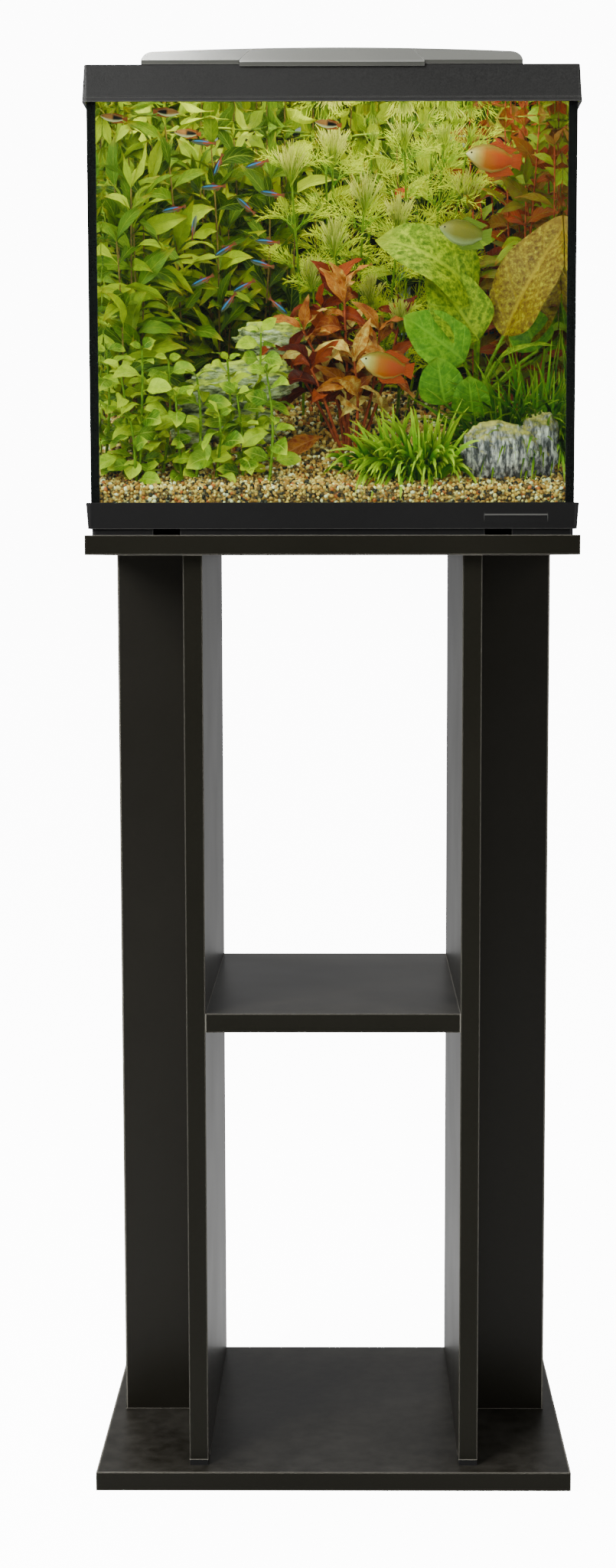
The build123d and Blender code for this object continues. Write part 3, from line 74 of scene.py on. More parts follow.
camera_data = bpy.data.cameras.new("camera")
camera_data.lens = FOCAL
camera_data.sensor_width = SENSOR
camera_data.shift_x = CAMERA_SHIFT
camera_data.clip_start = 0.05
camera = linked("camera", camera_data)
aim = Euler((math.pi / 2 - CAMERA_DOWN, 0, -CAMERA_TURN)).to_matrix() @ Matrix.Rotation(-CAMERA_ROLL, 3, "Z")
camera.matrix_world = Matrix.Translation(CAMERA_PLACE) @ aim.to_4x4()
bpy.context.scene.camera = camera


# ---- node helpers
def tone(red, green, blue):
    """A colour given as on a screen, 0 to 255, for a shader socket."""
    parts = []
    for value in (red, green, blue):
        value /= 255
        parts.append(value / 12.92 if value <= 0.04045 else ((value + 0.055) / 1.055) ** 2.4)
    return (*parts, 1.0)


def put(tree, kind, feeds=None, **settings):
    """One shader node with its settings, its sockets given as values or as other nodes' sockets."""
    made = tree.nodes.new("ShaderNode" + kind)
    for key, value in settings.items():
        setattr(made, key, value)
    feeds = dict(feeds or {})
    if kind in ("TexNoise", "TexVoronoi") and "Vector" not in feeds:
        feeds["Vector"] = put(tree, "TexCoord").outputs["Object"]
    for socket, value in feeds.items():
        if isinstance(value, bpy.types.NodeSocket):
            tree.links.new(value, made.inputs[socket])
        else:
            made.inputs[socket].default_value = value
    return made


def use(tree, group, feeds):
    return put(tree, "Group", feeds, node_tree=group).outputs


def calc(tree, operation, first, second=0.0, clamp=False):
    return put(tree, "Math", {0: first, 1: second}, operation=operation, use_clamp=clamp).outputs[0]


def times(tree, first, second, clamp=False):
    return calc(tree, "MULTIPLY", first, second, clamp)


def less_half(tree, value):
    return calc(tree, "SUBTRACT", value, 0.5)


def blend_colour(tree, share, low, high, kind="MIX"):
    return put(tree, "Mix", {"Factor": share, 6: low, 7: high}, data_type="RGBA", blend_type=kind).outputs[2]


def shaded_by(tree, colour, shade):
    """A colour made darker or lighter by a number."""
    grey = put(tree, "CombineColor", {0: shade, 1: shade, 2: shade}).outputs[0]
    return blend_colour(tree, 1.0, colour, grey, "MULTIPLY")


def spread(tree, value, low, high, to_low=0.0, to_high=1.0):
    """Maps a value from one range to another, held at both ends."""
    return put(tree, "MapRange", {0: value, 1: low, 2: high, 3: to_low, 4: to_high}).outputs[0]


def ramp(tree, share, stops, interpolation="LINEAR"):
    """Colours from a list of (place, screen colour)."""
    made = put(tree, "ValToRGB", {0: share})
    band = made.color_ramp
    band.interpolation = interpolation
    while len(band.elements) < len(stops):
        band.elements.new(0.5)
    for element, (place, colour) in zip(band.elements, stops):
        element.position = place
        element.color = tone(*colour)
    return made.outputs[0]


def uneven(tree, scale, detail=2.0, roughness=0.5, **place):
    """Soft random unevenness over the piece, 0 to 1."""
    return put(tree, "TexNoise", {"Scale": scale, "Detail": detail, "Roughness": roughness, **place}).outputs[0]


def pattern_place(tree):
    """A leaf's, fin's or fish's own coordinates: across or along it, then the other way."""
    return put(tree, "SeparateXYZ", {0: put(tree, "UVMap").outputs[0]}).outputs


def facing_up(tree):
    return put(tree, "SeparateXYZ", {0: put(tree, "NewGeometry").outputs["Normal"]}).outputs[2]


def effect(name, takes, gives):
    """A shader group with named inputs (name: value, a number or a colour) and outputs (name: kind)."""
    tree = bpy.data.node_groups.new(name, "ShaderNodeTree")
    for label, value in takes.items():
        kind = "Color" if isinstance(value, tuple) else "Float"
        socket = tree.interface.new_socket(label, in_out="INPUT", socket_type="NodeSocket" + kind)
        socket.default_value = value
    for label, kind in gives.items():
        tree.interface.new_socket(label, in_out="OUTPUT", socket_type="NodeSocket" + kind)
    return tree, tree.nodes.new("NodeGroupInput").outputs, tree.nodes.new("NodeGroupOutput").inputs


def finish(name, **sockets):
    """A material with one Principled shader; returns the material, its tree and the shader."""
    material = bpy.data.materials.new(name)
    material.use_nodes = True
    tree = material.node_tree
    shader = tree.nodes["Principled BSDF"]
    for socket, value in sockets.items():
        shader.inputs[socket.replace("_", " ")].default_value = value
    return material, tree, shader


def paint(tree, shader, colour, height=None, depth=0.0):
    """Joins a colour to the shader, and a height of the given depth as a bump."""
    tree.links.new(colour, shader.inputs["Base Color"])
    if height:
        made = put(tree, "Bump", {"Height": height, "Distance": depth, "Strength": 1.0})
        tree.links.new(made.outputs[0], shader.inputs["Normal"])


# ---- effects shared by several finishes
GREY = (0.5, 0.5, 0.5, 1.0)
PEBBLE_COLOURS = (
    (0.0, (40, 32, 24)), (0.09, (104, 70, 28)), (0.22, (172, 116, 42)), (0.38, (206, 152, 66)),
    (0.56, (224, 182, 94)), (0.70, (240, 210, 130)), (0.80, (252, 240, 200)), (0.87, (188, 92, 26)),
    (0.92, (122, 104, 72)), (0.97, (52, 46, 38)),
)


def make_moulded_grain():
    """The fine spark-eroded grain of moulded and lacquered surfaces."""
    takes = {"Grain Size": 0.0006, "Contrast": 0.5}
    tree, takes, gives = effect("moulded grain", takes, {"Height": "Float", "Shade": "Float"})
    fine = uneven(tree, calc(tree, "DIVIDE", 1.0, takes["Grain Size"]), 3.0)
    tree.links.new(fine, gives["Height"])
    swing = times(tree, less_half(tree, fine), takes["Contrast"])
    slow = times(tree, less_half(tree, uneven(tree, 9.0)), 0.3)
    tree.links.new(calc(tree, "ADD", calc(tree, "ADD", 1.0, swing), slow), gives["Shade"])
    return tree


def make_painted_edge_highlight():
    """How near a place is to an edge, for a painted highlight line along it."""
    tree, takes, gives = effect("painted edge highlight", {"Reach": 0.0006, "Strength": 0.5}, {"Highlight": "Float"})
    rounded = put(tree, "Bevel", {"Radius": takes["Reach"]}, samples=8).outputs[0]
    flat = put(tree, "NewGeometry").outputs["Normal"]
    along = put(tree, "VectorMath", {0: rounded, 1: flat}, operation="DOT_PRODUCT").outputs["Value"]
    tree.links.new(times(tree, spread(tree, along, 0.98, 0.75), takes["Strength"], True), gives["Highlight"])
    return tree


def make_dust():
    """A thin uneven film of dust on whatever faces up."""
    tree, takes, gives = effect("settled dust", {"Amount": 0.3}, {"Dust": "Float"})
    patches = spread(tree, uneven(tree, 35.0, 5.0, 0.7), 0.35, 0.7)
    amount = times(tree, spread(tree, facing_up(tree), 0.6, 1.0), patches)
    tree.links.new(times(tree, amount, takes["Amount"], True), gives["Dust"])
    return tree


def make_leaf_pattern():
    """Colours of a leaf from its width (U) and length (V): veins, tip, blotches and a shade of its own."""
    takes = dict.fromkeys(("Dark", "Mid", "Light", "Tip", "Vein"), GREY)
    takes.update({"Tip Share": 0.2, "Blotch": 0.3, "Blotch Size": 0.006, "Side Veins": 8.0, "Own Share": 1.0})
    tree, takes, gives = effect("leaf pattern", takes, {"Colour": "Color", "Height": "Float"})
    across, along, _ = pattern_place(tree)
    mottle = uneven(tree, calc(tree, "DIVIDE", 1.0, takes["Blotch Size"]), 5.0, 0.7)
    stir = times(tree, less_half(tree, mottle), takes["Blotch"])
    own = put(tree, "NewGeometry").outputs["Random Per Island"]
    own = calc(tree, "ADD", times(tree, less_half(tree, own), takes["Own Share"]), 0.5)
    level = calc(tree, "ADD", own, times(tree, stir, 2.0), clamp=True)
    low = blend_colour(tree, spread(tree, level, 0.0, 0.5), takes["Dark"], takes["Mid"])
    body = blend_colour(tree, spread(tree, level, 0.5, 1.0), low, takes["Light"])
    off_middle = calc(tree, "ABSOLUTE", less_half(tree, across))
    lean = calc(tree, "SUBTRACT", along, times(tree, off_middle, 0.5))
    wave = calc(tree, "SINE", times(tree, times(tree, lean, takes["Side Veins"]), 6.283))
    side_veins = times(tree, spread(tree, wave, 0.8, 1.0), 0.45)
    veins = calc(tree, "MAXIMUM", spread(tree, off_middle, 0.045, 0.015), side_veins)
    veined = blend_colour(tree, times(tree, veins, 0.6), body, takes["Vein"])
    tip_from = calc(tree, "SUBTRACT", 1.0, takes["Tip Share"])
    tip = calc(tree, "DIVIDE", calc(tree, "SUBTRACT", along, tip_from, clamp=True), takes["Tip Share"])
    tree.links.new(blend_colour(tree, tip, veined, takes["Tip"]), gives["Colour"])
    tree.links.new(calc(tree, "SUBTRACT", mottle, veins), gives["Height"])
    return tree


def make_pebble_colours():
    """Tan, brown, white, black and rust stones, each of one colour, with fine speckles, darkened by Light where
    painted shade is wanted.
    """
    tree, takes, gives = effect("pebble colours", {"Own Number": 0.5, "Light": 1.0}, {"Colour": "Color"})
    body = ramp(tree, takes["Own Number"], PEBBLE_COLOURS, "CONSTANT")
    shade = times(tree, spread(tree, uneven(tree, 900.0), 0.3, 0.7, 0.8, 1.12), takes["Light"])
    tree.links.new(shaded_by(tree, body, shade), gives["Colour"])
    return tree


moulded_grain = make_moulded_grain()
painted_edge_highlight = make_painted_edge_highlight()
settled_dust = make_dust()
leaf_pattern = make_leaf_pattern()
pebble_colours = make_pebble_colours()

# ---- kinds of finish
DUST = tone(150, 146, 138)
BRIGHT_METAL = tone(200, 202, 204)


def moulded(name, colour, highlight_colour, roughness, grain=0.0005, depth=0.00003, contrast=0.4, edge=0.4, dust=0.12,
            reach=0.0006, **sockets):
    """A moulded, coated or rubber surface: grain, a painted highlight along its edges and a trace of dust."""
    material, tree, shader = finish(name, Roughness=roughness, **{"Specular_IOR_Level": 0.28, **sockets})
    grained = use(tree, moulded_grain, {"Grain Size": grain, "Contrast": contrast})
    # The edge mask and its colour paint a highlight along the edges: painted highlight, not wear.
    worn = use(tree, painted_edge_highlight, {"Strength": edge, "Reach": reach})["Highlight"]
    dusty = use(tree, settled_dust, {"Amount": dust})["Dust"]
    highlighted = blend_colour(tree, worn, shaded_by(tree, tone(*colour), grained["Shade"]), tone(*highlight_colour))
    paint(tree, shader, blend_colour(tree, dusty, highlighted, DUST), grained["Height"], depth)
    rough = calc(tree, "ADD", times(tree, grained["Shade"], roughness), times(tree, dusty, 0.3), clamp=True)
    tree.links.new(rough, shader.inputs["Roughness"])
    return material


def metal(name, colour, roughness):
    """Bare metal with fine brushed lines."""
    material, tree, shader = finish(name, Metallic=1.0, Roughness=roughness)
    lines = uneven(tree, 1500.0, 3.0)
    paint(tree, shader, blend_colour(tree, spread(tree, lines, 0.3, 0.7), tone(*colour), BRIGHT_METAL), lines, 0.00002)
    tree.links.new(spread(tree, lines, 0.2, 0.8, roughness * 0.8, roughness * 1.3), shader.inputs["Roughness"])
    return material


def see_through(name, colour, ior, roughness=0.0):
    """Clear glass, plastic or water that lets the lamps' light straight in."""
    colour = tone(*colour)
    material, tree, shader = finish(name, Base_Color=colour, Roughness=roughness, IOR=ior, Transmission_Weight=1.0)
    rays = put(tree, "LightPath").outputs
    straight = calc(tree, "MAXIMUM", rays["Is Shadow Ray"], rays["Is Diffuse Ray"])
    clear = put(tree, "BsdfTransparent", {"Color": colour})
    mixed = put(tree, "MixShader", {0: straight, 1: shader.outputs[0], 2: clear.outputs[0]})
    tree.links.new(mixed.outputs[0], tree.nodes["Material Output"].inputs["Surface"])
    return material


def leaf_finish(name, dark, mid, light, tip, vein, **choice):
    """A leaf in five screen colours; the rest of the leaf pattern's values as wanted."""
    material, tree, shader = finish(name, Roughness=0.42, Specular_IOR_Level=0.12)
    shades = {"Dark": dark, "Mid": mid, "Light": light, "Tip": tip, "Vein": vein}
    feeds = {key: tone(*shade) for key, shade in shades.items()}
    feeds.update({key.replace("_", " "): value for key, value in choice.items()})
    pattern = use(tree, leaf_pattern, feeds)
    paint(tree, shader, pattern["Colour"], pattern["Height"], 0.0004)
    return material


def stalk_finish(name, dark, light):
    material, tree, shader = finish(name, Roughness=0.6, Specular_IOR_Level=0.1)
    streaks = uneven(tree, 220.0, 3.0)
    streaked = blend_colour(tree, spread(tree, streaks, 0.3, 0.7), tone(*dark), tone(*light))
    paint(tree, shader, streaked, streaks, 0.0002)
    return material


def rock_finish(name, stops, stretch, moss, turn=(0.2, 0.35, 0.0)):
    """Layered rock with pale seams, and moss where it faces up."""
    material, tree, shader = finish(name, Roughness=0.85)
    place = put(tree, "TexCoord").outputs["Object"]
    drawn = put(tree, "Mapping", {"Vector": place, "Scale": stretch, "Rotation": turn}).outputs[0]
    seams = uneven(tree, 90.0, 9.0, 0.65, Vector=drawn)
    rock_colour = ramp(tree, spread(tree, seams, 0.3, 0.7), stops)
    tufts = uneven(tree, 160.0, 6.0)
    cover = spread(tree, calc(tree, "ADD", facing_up(tree), tufts), 0.5, 1.1)
    speckled = blend_colour(tree, spread(tree, tufts, 0.35, 0.65), tone(*moss[0]), tone(*moss[1]))
    height = calc(tree, "ADD", seams, times(tree, tufts, 0.3))
    paint(tree, shader, blend_colour(tree, cover, rock_colour, speckled), height, 0.002)
    return material


STRIPE_MIDDLE = 0.66
STRIPE_HALF = 0.13
STRIPE_END = 0.74


def fish_skin(name, along_stops, belly, belly_reach, back, stripe=None):
    """Scales coloured along the body (U) and from belly to back (V), with a shining stripe if there is one."""
    material, tree, shader = finish(name, Roughness=0.35, Specular_IOR_Level=0.18)
    along, high, _ = pattern_place(tree)
    lower = spread(tree, high, belly_reach, belly_reach * 0.3)
    body = blend_colour(tree, lower, ramp(tree, along, along_stops), tone(*belly))
    body = blend_colour(tree, spread(tree, high, 0.68, 0.95), body, tone(*back))
    if stripe:
        off = calc(tree, "ABSOLUTE", calc(tree, "SUBTRACT", high, STRIPE_MIDDLE))
        line = spread(tree, off, STRIPE_HALF, STRIPE_HALF * 0.6)
        line = times(tree, line, spread(tree, along, STRIPE_END, STRIPE_END - 0.08))
        line = times(tree, line, spread(tree, along, 0.03, 0.06))
        body = blend_colour(tree, line, body, tone(*stripe))
    paint(tree, shader, body, put(tree, "TexVoronoi", {"Scale": 1100.0}).outputs[0], 0.00015)
    return material


def fin_finish(name, root, rim):
    """A thin fin with rays."""
    material, tree, shader = finish(name, Roughness=0.45, Specular_IOR_Level=0.15)
    rays = calc(tree, "SINE", times(tree, pattern_place(tree)[1], 140.0))
    paint(tree, shader, blend_colour(tree, spread(tree, rays, -0.5, 0.9), tone(*root), tone(*rim)), rays, 0.0001)
    return material


def foam_finish():
    material, tree, shader = finish("filter foam", Roughness=0.95)
    cells = put(tree, "TexVoronoi", {"Scale": 700.0}).outputs[0]
    paint(tree, shader, ramp(tree, cells, ((0.0, (20, 24, 30)), (0.55, (52, 62, 74)))), cells, 0.0006)
    return material


def gravel_bed_finish():
    material, tree, shader = finish("gravel bed", Roughness=0.7)
    grains = put(tree, "TexVoronoi", {"Scale": 330.0}).outputs
    own = put(tree, "SeparateColor", {0: grains["Color"]}).outputs[0]
    # Painted shade: each grain darkens towards its rim, as if shaded in the gaps between pebbles.
    painted_gap_shade = spread(tree, grains["Distance"], 0.25, 0.75, 1.0, 0.18)
    colour = use(tree, pebble_colours, {"Own Number": own, "Light": painted_gap_shade})["Colour"]
    paint(tree, shader, colour, calc(tree, "SUBTRACT", 1.0, grains["Distance"]), 0.0012)
    return material


def pebble_finish():
    material, tree, shader = finish("loose pebbles", Roughness=0.55)
    own = put(tree, "NewGeometry").outputs["Random Per Island"]
    paint(tree, shader, use(tree, pebble_colours, {"Own Number": own})["Colour"], uneven(tree, 1500.0), 0.0002)
    return material


def eye_finish():
    material, tree, shader = finish("fish eye", Roughness=0.08)
    stops = ((0.0, (8, 8, 10)), (0.36, (10, 10, 12)), (0.42, (196, 170, 110)))
    paint(tree, shader, ramp(tree, pattern_place(tree)[1], stops))
    return material


def diode_finish():
    material, tree, shader = finish("lit diode", Base_Color=tone(255, 250, 226), Emission_Strength=6.0)
    glow = blend_colour(tree, uneven(tree, 900.0), tone(255, 248, 222), tone(255, 255, 246))
    tree.links.new(glow, shader.inputs["Emission Color"])
    return material


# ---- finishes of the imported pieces
EDGE_ROUND = 0.35 * MM


def dress(names, material, rounding=EDGE_ROUND):
    """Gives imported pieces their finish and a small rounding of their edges."""
    for name in names.split():
        piece = nodes[name]
        piece.data.materials.clear()
        piece.data.materials.append(material)
        if rounding:
            soft = piece.modifiers.new("rounded edges", "BEVEL")
            soft.width = rounding
            soft.segments = 2
            soft.limit_method = "ANGLE"
            soft.angle_limit = math.radians(40)


# Moulded finishes: colour, colour of the painted edge highlight, roughness, grain size, bump depth, grain contrast,
# then the painted highlight's strength, dust and reach.
black_rubber = moulded("black rubber", (22, 22, 22), (60, 60, 60), 0.7, 0.0005, 0.00005, 0.4)

dress("base_board top_board left_fin right_fin left_wing right_wing shelf", moulded(
    "black melamine board", (29, 27, 21), (170, 166, 154), 0.34, 0.0009, 0.00002, 0.25, 0.7, 0.10, 0.0015,
    Specular_IOR_Level=0.26,
))
dress("base_edging top_edging fin_edging wing_edging shelf_edging", moulded(
    "black edge banding", (25, 24, 18), (180, 176, 164), 0.32, 0.0012, 0.00001, 0.2, 0.85, 0.10, 0.0017,
    Specular_IOR_Level=0.14,
), 0.2 * MM)
dress("fin_shoes filter_cups heater_holder", black_rubber)
dress("stand_screws shelf_bolts flap_pin light_screws heater_element", metal("screw steel", (150, 152, 154), 0.3), 0)
dress("shelf_cams", metal("die-cast zinc", (128, 130, 132), 0.45), 0)
dress("stand_dowels", moulded("beech dowel", (196, 158, 108), (214, 182, 138), 0.6, 0.0012, 0.00010, 0.8), 0)
dress("front_pane back_pane left_pane right_pane floor_pane", see_through("tank glass", (236, 246, 241), 1.5), 0)
dress("silicone_seams", moulded(
    "black silicone", (12, 12, 12), (70, 70, 72), 0.28, 0.0016, 0.00008, 0.3, 0.3, 0.0
), 0)
dress("bottom_trim", moulded(
    "tank trim plastic", (18, 18, 18), (110, 110, 106), 0.45, 0.0006, 0.00004, 0.7, 0.5, 0.10, 0.0010,
    Specular_IOR_Level=0.2,
))
dress("background_film", moulded("dark background film", (16, 19, 17), (40, 44, 42), 0.35, 0.002, 0.00002, 0.2), 0)
dress("hood_shell", moulded(
    "hood plastic", (35, 35, 34), (120, 120, 116), 0.5, 0.0012, 0.00010, 0.9, 0.6, 0.12, 0.0012
), 0.6 * MM)
dress("canopy feeding_flap", moulded(
    "satin silver plastic", (96, 97, 91), (214, 214, 208), 0.33, 0.0004, 0.00001, 0.15, 0.5, Metallic=0.55
), 0.5 * MM)
dress("light_housing", moulded("light bar plastic", (58, 60, 62), (110, 112, 114), 0.45, 0.0006, 0.00004, 0.4))
dress("light_circuit", moulded(
    "white circuit board", (232, 234, 230), (190, 196, 186), 0.4, 0.0008, 0.00002, 0.15
), 0)
dress("light_leds", diode_finish(), 0)
dress("light_lens", see_through("light lens plastic", (236, 240, 242), 1.49, 0.35), 0)
dress("filter_body filter_head filter_plate filter_spout heater_cap", moulded(
    "filter plastic", (26, 27, 28), (80, 82, 84), 0.45, 0.0005, 0.00005, 0.4, 0.4, 0.0
), 0.3 * MM)
dress("filter_shaft", moulded("ceramic shaft", (228, 226, 218), (240, 240, 236), 0.18, 0.0003, 0.00001, 0.1), 0)
dress("filter_rotor", moulded(
    "rotor plastic", (206, 208, 206), (236, 236, 234), 0.4, 0.0006, 0.00003, 0.2, 0.4, 0.0
), 0)
dress("filter_dial heater_dial", moulded(
    "dial plastic", (196, 62, 34), (226, 110, 80), 0.38, 0.0005, 0.00003, 0.2, 0.4, 0.0
), 0.2 * MM)
dress("heater_tube", see_through("heater glass", (226, 234, 230), 1.47), 0)

# ---- finishes of the contents
mossy_rock = rock_finish(
    "mossy rock", ((0.0, (26, 28, 16)), (0.35, (96, 100, 66)), (0.58, (172, 172, 128)), (1.0, (250, 248, 224))),
    (1.0, 1.0, 3.0), ((86, 98, 14), (192, 196, 60)),
)
slate_rock = rock_finish(
    "striped slate", ((0.0, (18, 16, 20)), (0.38, (84, 76, 88)), (0.58, (158, 144, 156)), (1.0, (248, 236, 230))),
    (3.4, 2.0, 0.9), ((92, 88, 34), (186, 164, 84)), (0.2, 0.5, 0.0),
)
# leaves: dark, middle and light shade, tip, vein
green_leaf = leaf_finish(
    "stem plant leaf", (32, 54, 2), (82, 108, 4), (170, 178, 14), (156, 138, 14), (150, 162, 34), Tip_Share=0.25
)
bright_leaf = leaf_finish(
    "round leaf", (56, 88, 2), (116, 138, 4), (178, 186, 22), (194, 196, 34), (180, 184, 70),
    Blotch=0.8, Tip_Share=0.3,
)
# The fronds take the bright tip colour over their outer three quarters and stay darker near the stem: painted light at
# the frond ends, painted shade deeper in the whorls.
pale_leaf = leaf_finish(
    "feathery leaf", (10, 44, 0), (76, 128, 0), (142, 174, 0), (210, 214, 10), (116, 154, 0),
    Own_Share=0.6, Tip_Share=0.75,
)
crown_leaf = leaf_finish(
    "pale crown leaf", (70, 100, 2), (110, 136, 2), (156, 166, 12), (224, 212, 96), (150, 156, 20),
    Own_Share=0.7, Tip_Share=0.8,
)
red_leaf = leaf_finish(
    "copper leaf", (122, 42, 10), (172, 98, 30), (228, 194, 106), (210, 142, 70), (194, 118, 66), Blotch=0.9
)
deep_red_leaf = leaf_finish(
    "deep red leaf", (66, 12, 4), (104, 24, 6), (146, 56, 14), (146, 46, 14), (130, 44, 20), Blotch=0.7
)
mixed_leaf = leaf_finish(
    "red and green leaf", (120, 22, 2), (96, 66, 4), (110, 134, 12), (150, 66, 14), (130, 96, 24)
)
sword_leaf = leaf_finish(
    "sword leaf", (52, 76, 2), (96, 114, 2), (150, 156, 6), (116, 120, 6), (156, 164, 18),
    Blotch=1.7, Blotch_Size=0.0045, Side_Veins=5.0, Own_Share=0.25,
)
plain_sword_leaf = leaf_finish(
    "plain sword leaf", (44, 82, 2), (74, 112, 4), (112, 142, 12), (100, 126, 8), (112, 146, 24),
    Blotch=1.2, Blotch_Size=0.005, Side_Veins=6.0, Own_Share=0.3,
)
bronze_leaf = leaf_finish(
    "bronze sword leaf", (76, 42, 2), (108, 80, 6), (146, 128, 18), (120, 84, 10), (150, 120, 16),
    Blotch=1.5, Blotch_Size=0.0036, Side_Veins=5.0, Own_Share=0.25,
)
shaded_grass_leaf = leaf_finish(
    "dark grass blade", (20, 56, 2), (44, 92, 4), (84, 128, 8), (140, 160, 20), (66, 110, 8), Tip_Share=0.35
)
grass_leaf = leaf_finish(
    "grass blade", (34, 84, 2), (66, 124, 4), (120, 164, 12), (190, 202, 34), (90, 144, 12), Tip_Share=0.5
)
green_stalk = stalk_finish("green stalk", (66, 92, 4), (112, 136, 10))
brown_stalk = stalk_finish("brown stalk", (88, 62, 30), (132, 104, 46))
red_stalk = stalk_finish("red stalk", (104, 34, 12), (166, 70, 40))
loose_pebbles = pebble_finish()
fish_eye = eye_finish()
# fish: colours from nose to tail, belly and how far up it reaches, back
neon_skin = fish_skin(
    "neon tetra skin", ((0.0, (48, 50, 36)), (0.45, (58, 58, 46)), (0.54, (136, 38, 0)), (0.95, (136, 38, 0))),
    (92, 92, 76), 0.34, (20, 20, 14), stripe=(0, 92, 156),
)
neon_fin = fin_finish("neon tetra fin", (120, 34, 6), (92, 78, 50))
rasbora_skin = fish_skin(
    "rasbora skin",
    ((0.0, (150, 96, 50)), (0.42, (164, 104, 56)), (0.5, (14, 12, 12)), (0.8, (18, 14, 14)), (0.85, (140, 60, 24))),
    (196, 180, 140), 0.35, (120, 76, 34),
)
rasbora_fin = fin_finish("rasbora fin", (140, 50, 14), (150, 84, 34))
gourami_skin = fish_skin(
    "red gourami skin",
    ((0.0, (196, 186, 140)), (0.18, (164, 140, 70)), (0.36, (154, 78, 0)), (0.6, (154, 52, 0)), (1.0, (138, 40, 0))),
    (160, 122, 60), 0.12, (104, 84, 20),
)
gourami_fin = fin_finish("red gourami fin", (150, 46, 0), (126, 50, 4))
olive_skin = fish_skin(
    "olive gourami skin", ((0.0, (130, 122, 76)), (0.3, (112, 100, 28)), (0.7, (100, 92, 18)), (1.0, (84, 98, 16))),
    (134, 136, 92), 0.32, (80, 76, 14),
)
olive_fin = fin_finish("olive gourami fin", (76, 98, 12), (106, 112, 26))


# ---- shapes
def mm(x, y, z):
    """A point or a size given in millimetres."""
    return Vector((x, y, z)) * MM


def turns(count):
    """Evenly spread angles, each with its share of the whole turn."""
    return [(2 * math.pi * number / count, number / count) for number in range(count)]


class Shape:
    """Collects the corners, faces and leaf coordinates of one piece."""

    def __init__(self, name):
        self.name = name
        self.points = []
        self.faces = []
        self.uvs = []
        self.marks = []

    def grid(self, rows, mark=0, close=False):
        """Joins rows of (point, uv) into faces; each row has as many points as the next."""
        start = len(self.points)
        width = len(rows[0])
        for row in rows:
            self.points.extend([point for point, _ in row])
            self.uvs.extend([uv for _, uv in row])
        for level in range(len(rows) - 1):
            low = start + level * width
            high = low + width
            for step in range(width if close else width - 1):
                after = (step + 1) % width
                self.faces.append((low + step, low + after, high + after, high + step))
                self.marks.append(mark)

    def cap(self, row):
        """Closes an end with one face on corners of its own."""
        self.solid([point for point, _ in row], [range(len(row))])

    def solid(self, points, faces):
        start = len(self.points)
        self.points.extend(points)
        self.uvs.extend([(0.5, 0.3)] * len(points))
        self.faces.extend([tuple(start + corner for corner in face) for face in faces])
        self.marks.extend([0] * len(faces))

    def make(self, materials, replaces=(), smooth=True):
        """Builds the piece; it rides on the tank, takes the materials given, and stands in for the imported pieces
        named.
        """
        mesh = bpy.data.meshes.new(self.name)
        mesh.from_pydata([tuple(point) for point in self.points], [], self.faces)
        for material in materials:
            mesh.materials.append(material)
        mesh.polygons.foreach_set("material_index", self.marks)
        mesh.polygons.foreach_set("use_smooth", [smooth] * len(self.faces))
        layer = mesh.uv_layers.new(name="leaf")
        layer.data.foreach_set("uv", [part for loop in mesh.loops for part in self.uvs[loop.vertex_index]])
        mesh.validate()
        mesh.update()
        piece = linked(self.name, mesh)
        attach(piece, "root")
        if replaces:
            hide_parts(*replaces)
        return piece


def sheet(side, front, back, across, deep, height):
    """Rows of corners over a rectangle, at the heights that a function gives."""
    rows = []
    for level in range(deep + 1):
        y = front + (back - front) * level / deep
        places = [side * (2 * step / across - 1) for step in range(across + 1)]
        rows.append([(Vector((x, y, height(x, y))), (0.5, 0.5)) for x in places])
    return rows


def closed_block(shape, rows, low_z):
    """A surface of rows closed downwards to a flat underside."""
    shape.grid(rows)
    edge = [row[0] for row in rows] + rows[-1][1:] + [row[-1] for row in reversed(rows[:-1])]
    edge += list(reversed(rows[0][1:-1]))
    low = [(Vector((point.x, point.y, low_z)), uv) for point, uv in edge]
    shape.grid([low, edge], close=True)
    shape.cap(low)


def welded(piece):
    """Joins a piece's doubled corners and turns its faces outwards."""
    work = bmesh.new()
    work.from_mesh(piece.data)
    bmesh.ops.remove_doubles(work, verts=work.verts, dist=1e-7)
    bmesh.ops.recalc_face_normals(work, faces=work.faces)
    work.to_mesh(piece.data)
    work.free()


def within(value, low, high):
    """A value held between two limits."""
    return min(max(value, low), high)


LEAF_TO_GLASS = 0.6 * MM
STONE_TO_GLASS = 0.3 * MM


def held(point, margin=LEAF_TO_GLASS):
    """Keeps a point inside the glass and under the water."""
    side = inner_right - margin
    deep = within(point.y, inner_front + margin, inner_back - margin)
    return Vector((within(point.x, -side, side), deep, min(point.z, water_top - margin)))


UP = Vector((0, 0, 1))


def frame_along(direction, up=UP):
    """Two directions square to a given one: to the side, and out of the leaf's face."""
    direction = direction.normalized()
    side = direction.cross(up)
    if side.length < 0.01:
        side = direction.cross(Vector((0, 1, 0)))
    side.normalize()
    return side, side.cross(direction).normalized()


# leaf outlines: share of the length, share of the width
LANCE = (
    (0.0, 0.05), (0.08, 0.12), (0.2, 0.46), (0.33, 0.86), (0.45, 1.0), (0.58, 0.92), (0.72, 0.64), (0.86, 0.3),
    (1.0, 0.02),
)
BROAD = (
    (0.0, 0.04), (0.05, 0.42), (0.12, 0.74), (0.22, 0.94), (0.35, 1.0), (0.5, 0.97), (0.65, 0.86), (0.8, 0.64),
    (0.92, 0.35), (1.0, 0.04),
)
OVATE = (
    (0.0, 0.07), (0.16, 0.09), (0.25, 0.5), (0.36, 0.86), (0.5, 1.0), (0.64, 0.93), (0.78, 0.7), (0.9, 0.36),
    (1.0, 0.03),
)


